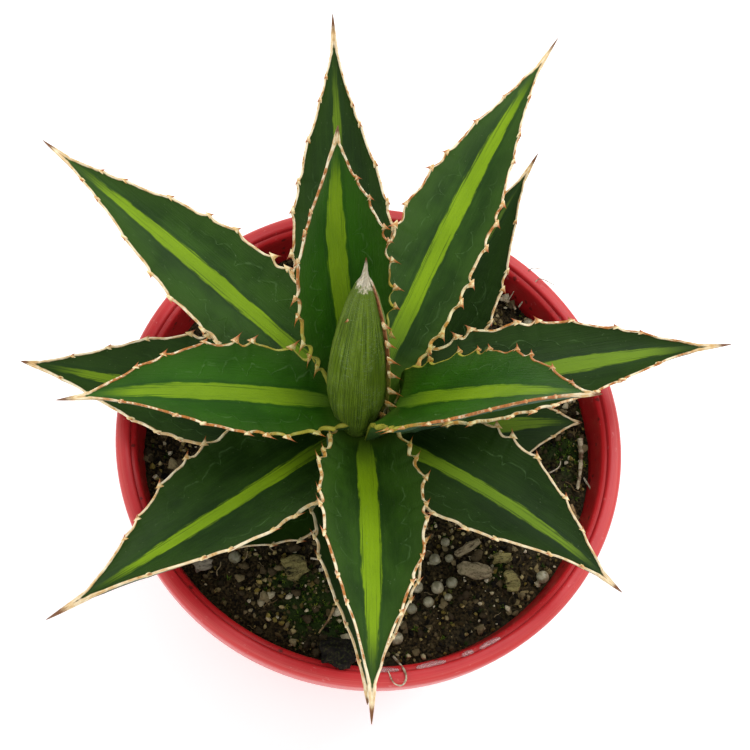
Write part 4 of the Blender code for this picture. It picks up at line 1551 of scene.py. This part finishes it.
MOSS_SPOTS = ((-16, -46, 9, 1.0), (-8, -52, 6, 0.9), (56, 0, 8, 0.7), (50, -14, 6, 0.5), (-24, -40, 7, 0.6),
              (34, -35, 6, 0.5), (2, -58, 5, 0.5), (45, 32, 6, 0.4), (-50, -22, 5, 0.3), (30, 50, 7, 0.4))


def moss_at(x: float, y: float) -> float:
    """Return how mossy the soil is at a place, 0 to 1.

    Args:
        x: the place.
        y: the place.

    Returns:
        How mossy it is.
    """
    best = 0.12
    for mx, my, reach, much in MOSS_SPOTS:
        best = max(best, much * math.exp(-((x - mx) ** 2 + (y - my) ** 2) / (reach * reach)))
    return max(0.0, min(1.0, best + 0.35 * wobble(x, y, 4, 5.0)))


@dataclass
class Soil:
    """The soil block with its lumpy top, and the crumbs, grit, moss and fibres strewn on it."""

    rings: int = 120
    steps: int = 260
    edge: float = 62.2
    gap: float = 0.3
    strewn_edge: float = 61.6
    stem_clear: float = 9.0
    lowest_top: float = 91.0

    def lumps(self, x: float, y: float) -> float:
        """Return how far the lumpy top stands off the smooth soil.

        Args:
            x: the place.
            y: the place.

        Returns:
            The height in millimetres.
        """
        value = 0.8 * wobble(x, y, 0, 4.4) + 0.5 * wobble(x, y, 9, 1.9) + 0.2 * wobble(x, y, 20, 0.8)
        cell = noise.voronoi(Vector((x, y, 0)) / 2.1)[0][0]
        return value + 0.5 * (0.4 - min(cell, 0.8)) - 0.25

    def build(self) -> bpy.types.Object:
        """Loft the block, top ring by ring with its lumps.

        Returns:
            The bed.
        """
        pot = Pot()
        low = pot.floor + self.gap
        points: list = [(0.0, 0.0, low)]
        moss: list = [0.0]
        rings: list = []

        def ring(radius: float, height: float | None) -> None:
            """Add one ring of points."""
            rings.append(len(points))
            for k in range(self.steps):
                angle = math.tau * k / self.steps
                x, y = radius * math.cos(angle), radius * math.sin(angle)
                z = height if height is not None else soil_height(x, y) + self.lumps(x, y)
                points.append((x, y, z))
                moss.append(moss_at(x, y) if height is None else 0.0)

        ring(pot.base_radius - pot.wall - 1.9, low)
        ring(pot.inner_radius(low + 1.5) - self.gap - 0.2, low + 1.5)
        for z in (30, 60, 84):
            ring(pot.inner_radius(z) - self.gap - 0.2, z)
        ring(self.edge + 0.25, 90.4)
        for n in range(self.rings):
            ring(self.edge * (1 - n / self.rings) + 0.4, None)
        top = len(points)
        points.append((0.0, 0.0, soil_height(0, 0)))
        moss.append(0.0)
        faces = []
        for k in range(self.steps):
            n = (k + 1) % self.steps
            faces.append((0, rings[0] + n, rings[0] + k))
            faces += [(a + k, a + n, b + n, b + k) for a, b in zip(rings, rings[1:])]
            faces.append((rings[-1] + k, rings[-1] + n, top))
        return new_piece("soil_bed", points, faces, SoilFinish(), {"moss": moss}, 80)

    def strew_map(self, bed: bpy.types.Object, amount: Callable[[float, float], float]) -> bpy.types.Mesh:
        """Copy the bed's top with how thickly to strew at each point.

        Args:
            bed: the soil bed.
            amount: how thickly to strew at a place.

        Returns:
            The copy.
        """
        mesh = bed.data.copy()
        layer = mesh.attributes.new("strew", "FLOAT", "POINT")
        values = []
        for vertex in mesh.vertices:
            x, y, z = vertex.co / MM
            clear = math.hypot(x - STEM[0], y) > self.stem_clear
            open_ground = clear and math.hypot(x, y) < self.strewn_edge and z > self.lowest_top
            values.append(amount(x, y) if open_ground else 0.0)
        layer.data.foreach_set("value", values)
        return mesh

    def strew(self, bed: bpy.types.Object) -> None:
        """Strew crumbs, grit, pale chips, moss and short fibres over the bed.

        Args:
            bed: the soil bed.
        """
        lump, tuft, fibre = grain_lump(), moss_tuft(), short_fibre()
        crumb = GrainFinish("soil_crumb", (
            ("0c0a07", 0.0), ("1f190f", 0.35), ("453a22", 0.7), ("8a7a52", 1.0),
        ), 0.7)
        grit = GrainFinish("soil_grit", (
            ("4c4020", 0.0), ("94833f", 0.4), ("bfae7c", 0.75), ("e6dcc0", 1.0),
        ), 0.55)
        flake = GrainFinish("soil_flake", (
            ("2c2214", 0.0), ("5f5238", 0.45), ("9a8c66", 0.8), ("d2c8aa", 1.0),
        ), 0.65)
        green = GrainFinish("moss_green", (
            ("1c300c", 0.0), ("355214", 0.5), ("5f7d22", 0.85), ("97a03c", 1.0),
        ), 0.75)
        straw = GrainFinish("soil_straw", (("4a3823", 0.0), ("84704c", 0.6), ("b8a680", 1.0)), 0.7)
        rows = (
            ("soil_crumbs", lump, crumb, 480000.0, 0.0006, 0.0026, 0.8, math.pi, 0.1, 3,
             lambda x, y: 1.0 - 0.6 * moss_at(x, y)),
            ("soil_clods", lump, crumb, 20000.0, 0.0020, 0.0046, 0.6, 0.5, 0.2, 9, lambda x, y: 1.0),
            ("soil_grit", lump, grit, 380000.0, 0.0004, 0.0019, 0.8, math.pi, -0.5, 5,
             lambda x, y: 0.25 + max(0.0, 1.3 * wobble(x, y, 33, 9.0))),
            ("soil_flakes", lump, flake, 80000.0, 0.0008, 0.0036, 0.5, 0.5, -0.6, 15, lambda x, y: 1.0),
            ("soil_moss", tuft, green, 1100000.0, 0.0008, 0.0018, 1.0, 0.5, 0.1, 7,
             lambda x, y: moss_at(x, y) ** 1.6),
            ("soil_fibres", fibre, straw, 14000.0, 0.0016, 0.0050, 1.0, 0.35, -0.15, 12, lambda x, y: 1.0),
        )
        for name, grain, finish, density, small, large, flat, tilt, sink, seed, amount in rows:
            values = {
                "Grain": grain, "Density": density, "Seed": seed, "Smallest": small, "Largest": large,
                "Flatness": flat, "Tilt": tilt, "Sink": sink, "Finish": finish.material(),
            }
            piece = TREES["scatter"].grow(name, self.strew_map(bed, amount), values, 60)
            place_on(piece, slot="soil_dark")
        for grain in (lump, tuft, fibre):
            bpy.data.objects.remove(grain, do_unlink=True)


def unit_piece(name: str, points: list, faces: list) -> bpy.types.Object:
    """Make a template a metre across for the scatter to copy.

    Args:
        name: the template's name.
        points: its points.
        faces: its faces.

    Returns:
        The template.
    """
    mesh = bpy.data.meshes.new(name)
    mesh.from_pydata([tuple(map(float, p)) for p in points], [], faces)
    obj = bpy.data.objects.new(name, mesh)
    bpy.context.scene.collection.objects.link(obj)
    return obj


def grain_lump() -> bpy.types.Object:
    """Make an uneven lump one unit across.

    Returns:
        The template.
    """
    work = bmesh.new()
    bmesh.ops.create_icosphere(work, subdivisions=1, radius=0.5)
    for vertex in work.verts:
        vertex.co *= 1 + 0.5 * wobble(vertex.co.x, vertex.co.y, vertex.co.z + 3, 0.45)
    mesh = bpy.data.meshes.new("grain")
    work.to_mesh(mesh)
    work.free()
    obj = bpy.data.objects.new("grain", mesh)
    bpy.context.scene.collection.objects.link(obj)
    return obj


def moss_tuft() -> bpy.types.Object:
    """Make a tuft of five pointed moss leaves.

    Returns:
        The template.
    """
    points, faces = [], []
    for n in range(5):
        turn = math.tau * n / 5
        lean = 0.25 if n == 0 else 0.75
        aim = np.array((lean * math.cos(turn), lean * math.sin(turn), 1.0))
        side = np.array((-math.sin(turn), math.cos(turn), 0)) * 0.13
        first = len(points)
        middle = aim * 0.45
        points += [(0, 0, -0.1), middle + side, middle - side, middle + np.array((0, 0, 0.12)), aim * 0.9]
        corners = ((0, 1, 2), (0, 3, 1), (0, 2, 3), (4, 2, 1), (4, 1, 3), (4, 3, 2))
        faces += [tuple(first + corner for corner in face) for face in corners]
    return unit_piece("tuft", points, faces)


def short_fibre() -> bpy.types.Object:
    """Make a thin bent fibre one unit long.

    Returns:
        The template.
    """
    path = curved_path(((-0.5, 0, 0), (-0.15, 0.08, 0.05), (0.2, -0.04, 0.06), (0.5, 0.1, 0.0)), 2)
    radii = np.full(len(path), 0.035)
    points, faces, _ = tube(path, radii, 4)
    return unit_piece("fibre", points, faces)


@dataclass
class Litter:
    """What lies on the soil: prills, bark chips, the lump over the lip, twigs and roots."""

    prills: tuple = (1.6, 1.8, 1.6, 1.5, 1.7, 1.5, 1.1, 1.7, 1.2, 1.8, 1.7, 1.3, 1.6)
    chips: tuple = (
        (9.0, 5.0, 2.0, -8, 8), (7.5, 2.6, 1.4, 33, 12), (5.0, 3.4, 2.6, 10, 5),
        (3.4, 6.5, 2.8, 12, 6), (5.5, 3.6, 1.6, 15, 4), (6.0, 8.0, 2.4, 20, 5),
    )
    lump_azimuth: float = math.radians(262.0)
    lump_width: float = 11.0
    lump_layers: tuple = (
        (-9.5, 56.5, 61.5), (-3.0, 57.0, 62.5), (0.3, 58.5, 63.5), (0.5, 59.0, 66.5), (2.6, 60.5, 65.5),
    )
    twigs: tuple = (((60.0, 3.0), (58.5, -12.0), 0.9), ((37.0, 46.5), (43.0, 43.0), 0.8))

    def build(self) -> None:
        """Build every loose thing on the soil."""
        for number, radius in enumerate(self.prills, 1):
            place_on(self.prill(number, radius), f"prill_{number:02d}", slot="prill_tan")
        for number, row in enumerate(self.chips, 1):
            place_on(self.chip(number, row), f"bark_{number:02d}", slot="bark_brown")
        place_on(self.lump(), "bark_lump", slot="bark_brown")
        for number, row in enumerate(self.twigs, 1):
            place_on(self.twig(number, row), f"twig_{number:02d}", slot="twig_grey")
        self.roots()

    def prill(self, number: int, radius: float) -> bpy.types.Object:
        """Make one slightly dented bead.

        Args:
            number: the bead's number.
            radius: its radius in millimetres.

        Returns:
            The bead.
        """
        centre = np.array(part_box(f"prill_{number:02d}")).mean(0) / MM
        rows = [(math.sin(a), math.cos(a)) for a in np.linspace(0, math.pi, 18)]
        rows[0], rows[-1] = (0.0, 1.0), (0.0, -1.0)
        points, faces = lathe(rows, 28)
        shaped = []
        for p in points:
            dent = 0.97 + 0.07 * wobble(p[0] + number, p[1], p[2], 0.7)
            shaped.append(centre + np.array(p) * radius * dent * np.array((1, 1, 0.94)))
        shade = np.full(len(points), (number * 0.37) % 1.0)
        return new_piece(f"prill_{number:02d}_bead", shaped, faces, PrillFinish(), {"shade": shade})

    def chip(self, number: int, row: tuple) -> bpy.types.Object:
        """Make one splintered chip inside its CAD block's box.

        Args:
            number: the chip's number.
            row: its length, width, thickness, turn and tilt.

        Returns:
            The chip.
        """
        length, width, thick, turn, tilt = row
        low, high = (np.array(corner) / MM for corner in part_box(f"bark_{number:02d}"))
        centre = (low + high) / 2
        name = f"bark_{number:02d}_chip"
        size = (length * 0.96, width * 0.96, thick)
        brown = BarkFinish()
        grey = BarkFinish("bark_grey", "3a342c", "6d665a", "a39a88")
        mossy = BarkFinish("bark_mossy", "14120a", "3a3820", "8d8352")
        finish = {1: brown, 2: brown, 5: grey}.get(number, mossy)
        return self.splinter(name, centre, size, math.radians(turn), math.radians(tilt), number * 7.3, finish)

    def splinter(self, name: str, centre: np.ndarray, size: tuple, turn: float, tilt: float, seed: float,
                 finish: Finish, cells: tuple = (46, 26, 12)) -> bpy.types.Object:
        """Make a fibrous block: broken ends, rounded edges, grain along its length.

        Args:
            name: the piece's name.
            centre: its middle in millimetres.
            size: length, width and thickness.
            turn: its turn about Z.
            tilt: its tilt about its length.
            seed: what its unevenness starts from.
            finish: its finish.
            cells: how finely each direction is divided.

        Returns:
            The object.
        """
        spin = Matrix.Rotation(turn, 3, "Z") @ Matrix.Rotation(tilt, 3, "X")
        index: dict = {}
        points, runs, sides = [], [], []

        def corner(a: int, b: int, c: int) -> int:
            """Return the point at a place on the block's surface, made when first asked for."""
            if (a, b, c) not in index:
                f = np.array((a / cells[0], b / cells[1], c / cells[2])) * 2 - 1
                bulge = 1 - 0.16 * (abs(f[1]) ** 4 + abs(f[2]) ** 4) - 0.1 * abs(f[0]) ** 6
                p = f * np.array(size) / 2 * np.array((1, bulge, bulge))
                grain = 0.4 * wobble(p[0] * 0.35, p[1] * 0.9 + seed, p[2] * 0.9, 1.0)
                broken = 0.9 * wobble(seed, p[1] * 0.8, p[2] * 0.8, 1.0) * abs(f[0]) ** 3
                p = p * (1 + np.array((0.18 * broken * 2, grain, grain * 1.4)))
                p[2] += 0.45 * wobble(p[0], p[1], seed, 2.6) * min(1.0, size[2] / 2)
                p[1] *= 1 - 0.3 * max(0.0, f[0]) ** 2
                p = np.array(spin @ Vector(p))
                index[(a, b, c)] = len(points)
                points.append(np.array(centre) + p)
                runs.append(f[0] * size[0] / 2 + 20)
                sides.append(f[1] * size[1] / 2 + f[2] * size[2] / 2)
            return index[(a, b, c)]

        faces = []
        for axis in range(3):
            u, v = [k for k in range(3) if k != axis]
            for end in (0, cells[axis]):
                for i in range(cells[u]):
                    for j in range(cells[v]):
                        quad = []
                        for du, dv in ((0, 0), (1, 0), (1, 1), (0, 1)):
                            place = [0, 0, 0]
                            place[axis], place[u], place[v] = end, i + du, j + dv
                            quad.append(corner(*place))
                        faces.append(quad)
        shade = np.full(len(points), (seed * 0.13) % 1.0)
        data = {"run_mm": runs, "across_mm": sides, "shade": shade}
        return new_piece(name, points, faces, finish, data, 70)

    def lump(self) -> bpy.types.Object:
        """Loft the dark lump that leans over the lip.

        Returns:
            The lump.
        """
        out = np.array((math.cos(self.lump_azimuth), math.sin(self.lump_azimuth), 0))
        across = np.array((-math.sin(self.lump_azimuth), math.cos(self.lump_azimuth), 0))
        heights = np.array([row[0] for row in self.lump_layers])
        between = [np.linspace(a, b, 9, endpoint=False) for a, b in zip(heights, heights[1:])]
        fine = np.concatenate(between + [heights[-1:]])
        inner = np.interp(fine, heights, [row[1] for row in self.lump_layers])
        outer = np.interp(fine, heights, [row[2] for row in self.lump_layers])
        half = np.interp(fine, heights, np.array((0.9, 1.0, 1.0, 0.95, 0.6)) * self.lump_width / 2)
        steps = 60
        points, runs, sides = [], [], []
        for z, a, b, w in zip(fine, inner, outer, half):
            for k in range(steps):
                angle = math.tau * k / steps
                c, s = math.cos(angle), math.sin(angle)
                rough = 0.86 + 0.3 * wobble(2 * c, 2 * s, z / 3, 1.0) + 0.1 * wobble(6 * c, 6 * s, z, 1.0)
                r = (a + b) / 2 + (b - a) / 2 * np.sign(c) * abs(c) ** 0.8 * rough
                aside = across * w * np.sign(s) * abs(s) ** 0.8 * rough
                points.append(out * r + aside + np.array((0, 0, POT_HEIGHT + z)))
                runs.append(z + 20)
                sides.append(angle * 4)
        faces = [tuple(range(steps))[::-1], tuple(len(points) - steps + k for k in range(steps))]
        faces += skin(steps, len(fine))
        finish = BarkFinish("bark_dark", "080706", "15110d", "2a241b")
        data = {"run_mm": runs, "across_mm": sides, "shade": np.full(len(points), 0.1)}
        return new_piece("bark_lump_piece", points, faces, finish, data, 60)

    def twig(self, number: int, row: tuple) -> bpy.types.Object:
        """Sweep one knotty twig.

        Args:
            number: the twig's number.
            row: its two ends seen from above, and its radius.

        Returns:
            The twig.
        """
        (x0, y0), (x1, y1), radius = row
        low, high = (np.array(corner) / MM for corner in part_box(f"twig_{number:02d}"))
        height = (low[2] + high[2]) / 2
        ends = []
        for s in np.linspace(0, 1, 6):
            bend = 0.7 * math.sin(math.pi * s)
            z = height + 0.15 * math.sin(9 * s)
            ends.append((x0 + (x1 - x0) * s + bend, y0 + (y1 - y0) * s + bend, z))
        path = curved_path(ends, 10)
        t = np.linspace(0, 1, len(path))
        knots = 0.62 + 0.22 * np.sin(t * 11 + number) ** 2 + 0.16 * np.cos(t * 23) ** 8
        radii = radius * (1.0 - 0.4 * t) * knots
        points, faces, data = tube(path, radii, 16, number)
        finish = FibreFinish("twig_grey", "c2b494", "5e4128")
        return new_piece(f"twig_{number:02d}_stick", points, faces, finish, data)

    def roots(self) -> None:
        """Lay the fine roots and straws that cross the soil and the lip."""
        lip = POT_HEIGHT
        rows = (
            ("root_loop", ((6.5, -60.0, 94.5), (8.0, -64.8, 103.2), (8.6, -67.5, 104.6), (7.6, -69.3, 104.1),
                           (5.4, -68.9, 104.5), (4.0, -65.8, 104.0)), 0.32, "root_pale"),
            ("root_upper", ((44.0, 44.0, 95.0), (46.5, 46.8, 100.5), (47.6, 48.2, 104.4), (49.2, 48.4, 105.0),
                            (53.0, 46.6, 104.9)), 0.22, "root_pale"),
            ("root_fork", ((41.0, 46.0, 95.0), (43.6, 49.6, 101.0), (46.0, 51.8, 104.5),
                           (49.6, 51.6, 105.3)), 0.18, "root_pale"),
            ("straw_left", ((-9.5, -47.0, 93.6), (-11.0, -50.5, 94.6), (-13.5, -54.0, 94.0)),
             0.42, "straw_tan"),
            ("root_arc", ((61.0, -8.0, 94.0), (62.6, -14.0, 96.5), (61.6, -21.0, 94.5)), 0.3, "root_pale"),
            ("root_across", ((40.0, -12.5, 93.4), (46.0, -9.5, 95.0), (53.5, -5.5, 94.8),
                             (54.5, -1.0, 93.4)), 0.3, "root_pale"),
            ("straw_right", ((57.0, -16.0, 93.8), (58.0, -20.5, 94.6), (56.8, -25.5, 93.9)),
             0.5, "straw_tan"),
            ("root_front", ((-16.0, -33.5, 94.0), (-8.0, -34.6, 95.2), (-1.0, -32.4, 95.0)),
             0.3, "root_pale"),
        )
        looks = {"root_pale": FibreFinish(), "straw_tan": FibreFinish("straw_tan", "a98c5e", "6b4e2e")}
        for number, (name, ends, radius, look) in enumerate(rows):
            path = curved_path(ends, 12)
            t = np.linspace(0, 1, len(path))
            radii = radius * (1 - 0.55 * t) * (1 + 0.12 * np.sin(t * 30 + number))
            path[:, 2] += 0.12 * np.sin(t * 17 + number) * np.sin(math.pi * t)
            points, faces, data = tube(path, radii, 9, number)
            place_on(new_piece(name, points, faces, looks[look], data), slot="twig_grey")
        LOG.info("roots reach %.1f mm above the lip at most", max(p[2] for r in rows for p in r[1]) - lip)


@dataclass
class WaterFilm:
    """Flat pools of water on the step inside the lip."""

    spans: tuple = ((-92, -84), (-80, -73), (-69, -66), (-64.5, -59))
    level: float = POT_HEIGHT - 0.95
    radius: float = 65.6
    half_width: float = 0.85
    half_depth: float = 0.3
    steps: int = 40
    sides: int = 10

    def build(self) -> None:
        """Make each pool as a thin closed strip with rounded ends."""
        for number, (start, end) in enumerate(self.spans, 1):
            steps, sides = self.steps, self.sides
            points = []
            for i in range(steps + 1):
                t = i / steps
                angle = math.radians(start + (end - start) * t)
                full = max(0.02, math.sin(math.pi * t)) ** 0.35
                for k in range(sides):
                    turn = math.tau * k / sides
                    r = self.radius + self.half_width * full * math.cos(turn)
                    z = self.level + self.half_depth * (1 + full * math.sin(turn))
                    points.append((r * math.cos(angle), r * math.sin(angle), z))
            faces = [tuple(range(sides))[::-1], tuple(len(points) - sides + k for k in range(sides))]
            faces += skin(sides, steps + 1)
            place_on(new_piece(f"water_{number}", points, faces, WaterFinish()), slot="pot_red")


# ---------------------------------------------------------------- the studio


@dataclass
class Studio:
    """White floor, soft light and the camera."""

    eye: tuple = (-0.04047, -0.14361, 0.49661)
    aim: tuple = (0.000555, 0.016861, 0.104)
    lens: float = 73.29
    sky: float = 0.9
    key_power: float = 2.9
    fill_power: float = 0.6
    floor_half: float = 900.0
    floor_level: float = -0.05

    def build(self) -> None:
        """Lay the floor, hang the lights and set the camera."""
        half, level = self.floor_half, self.floor_level
        corners = [(-half, -half, level), (half, -half, level), (half, half, level), (-half, half, level)]
        floor = new_piece("floor", corners, [(0, 1, 2, 3)], FloorFinish())
        bpy.context.scene.view_settings.view_transform = "Standard"
        world = bpy.data.worlds.new("studio")
        bpy.context.scene.world = world
        world.use_nodes = True
        world.node_tree.nodes["Background"].inputs["Color"].default_value = (1.0, 1.0, 1.0, 1.0)
        world.node_tree.nodes["Background"].inputs["Strength"].default_value = self.sky
        self.lamp("key", (0.28, 0.30, 0.75), 0.5, self.key_power)
        self.lamp("fill", (-0.45, -0.2, 0.6), 0.6, self.fill_power)
        self.camera()

    def lamp(self, name: str, place: tuple, size: float, power: float) -> None:
        """Hang one square soft light that faces the plant.

        Args:
            name: the lamp's name.
            place: where it hangs, in metres.
            size: its side in metres.
            power: its power in watts.
        """
        light = bpy.data.lights.new(name, "AREA")
        light.shape = "SQUARE"
        light.size = size
        light.energy = power
        obj = bpy.data.objects.new(name, light)
        obj.location = place
        obj.rotation_euler = (Vector((0, 0, 0.11)) - Vector(place)).to_track_quat("-Z", "Y").to_euler()
        bpy.context.scene.collection.objects.link(obj)

    def camera(self) -> None:
        """Set the camera, level with the world's Y."""
        eye, aim = Vector(self.eye), Vector(self.aim)
        ahead = (aim - eye).normalized()
        right = ahead.cross(Vector((0, 1, 0))).normalized()
        up = right.cross(ahead)
        data = bpy.data.cameras.new("camera")
        data.lens = self.lens
        data.sensor_width = 36.0
        camera = bpy.data.objects.new("camera", data)
        camera.matrix_world = Matrix.Translation(eye) @ Matrix((right, up, -ahead)).transposed().to_4x4()
        bpy.context.scene.collection.objects.link(camera)
        bpy.context.scene.camera = camera


TREES: dict[str, GeometryTree] = {}


def main() -> None:
    """Build the potted agave and its studio."""
    logging.basicConfig(level=logging.INFO, format="%(name)s %(message)s")
    TREES["teeth"] = ToothTree()
    TREES["scatter"] = ScatterTree()
    Studio().build()
    place_on(Pot().build(), "pot", slot="pot_red")
    soil = Soil()
    bed = soil.build()
    place_on(bed, "soil", slot="soil_dark")
    soil.strew(bed)
    Litter().build()
    WaterFilm().build()
    Rosette().build()


if __name__ == "__main__":
    main()
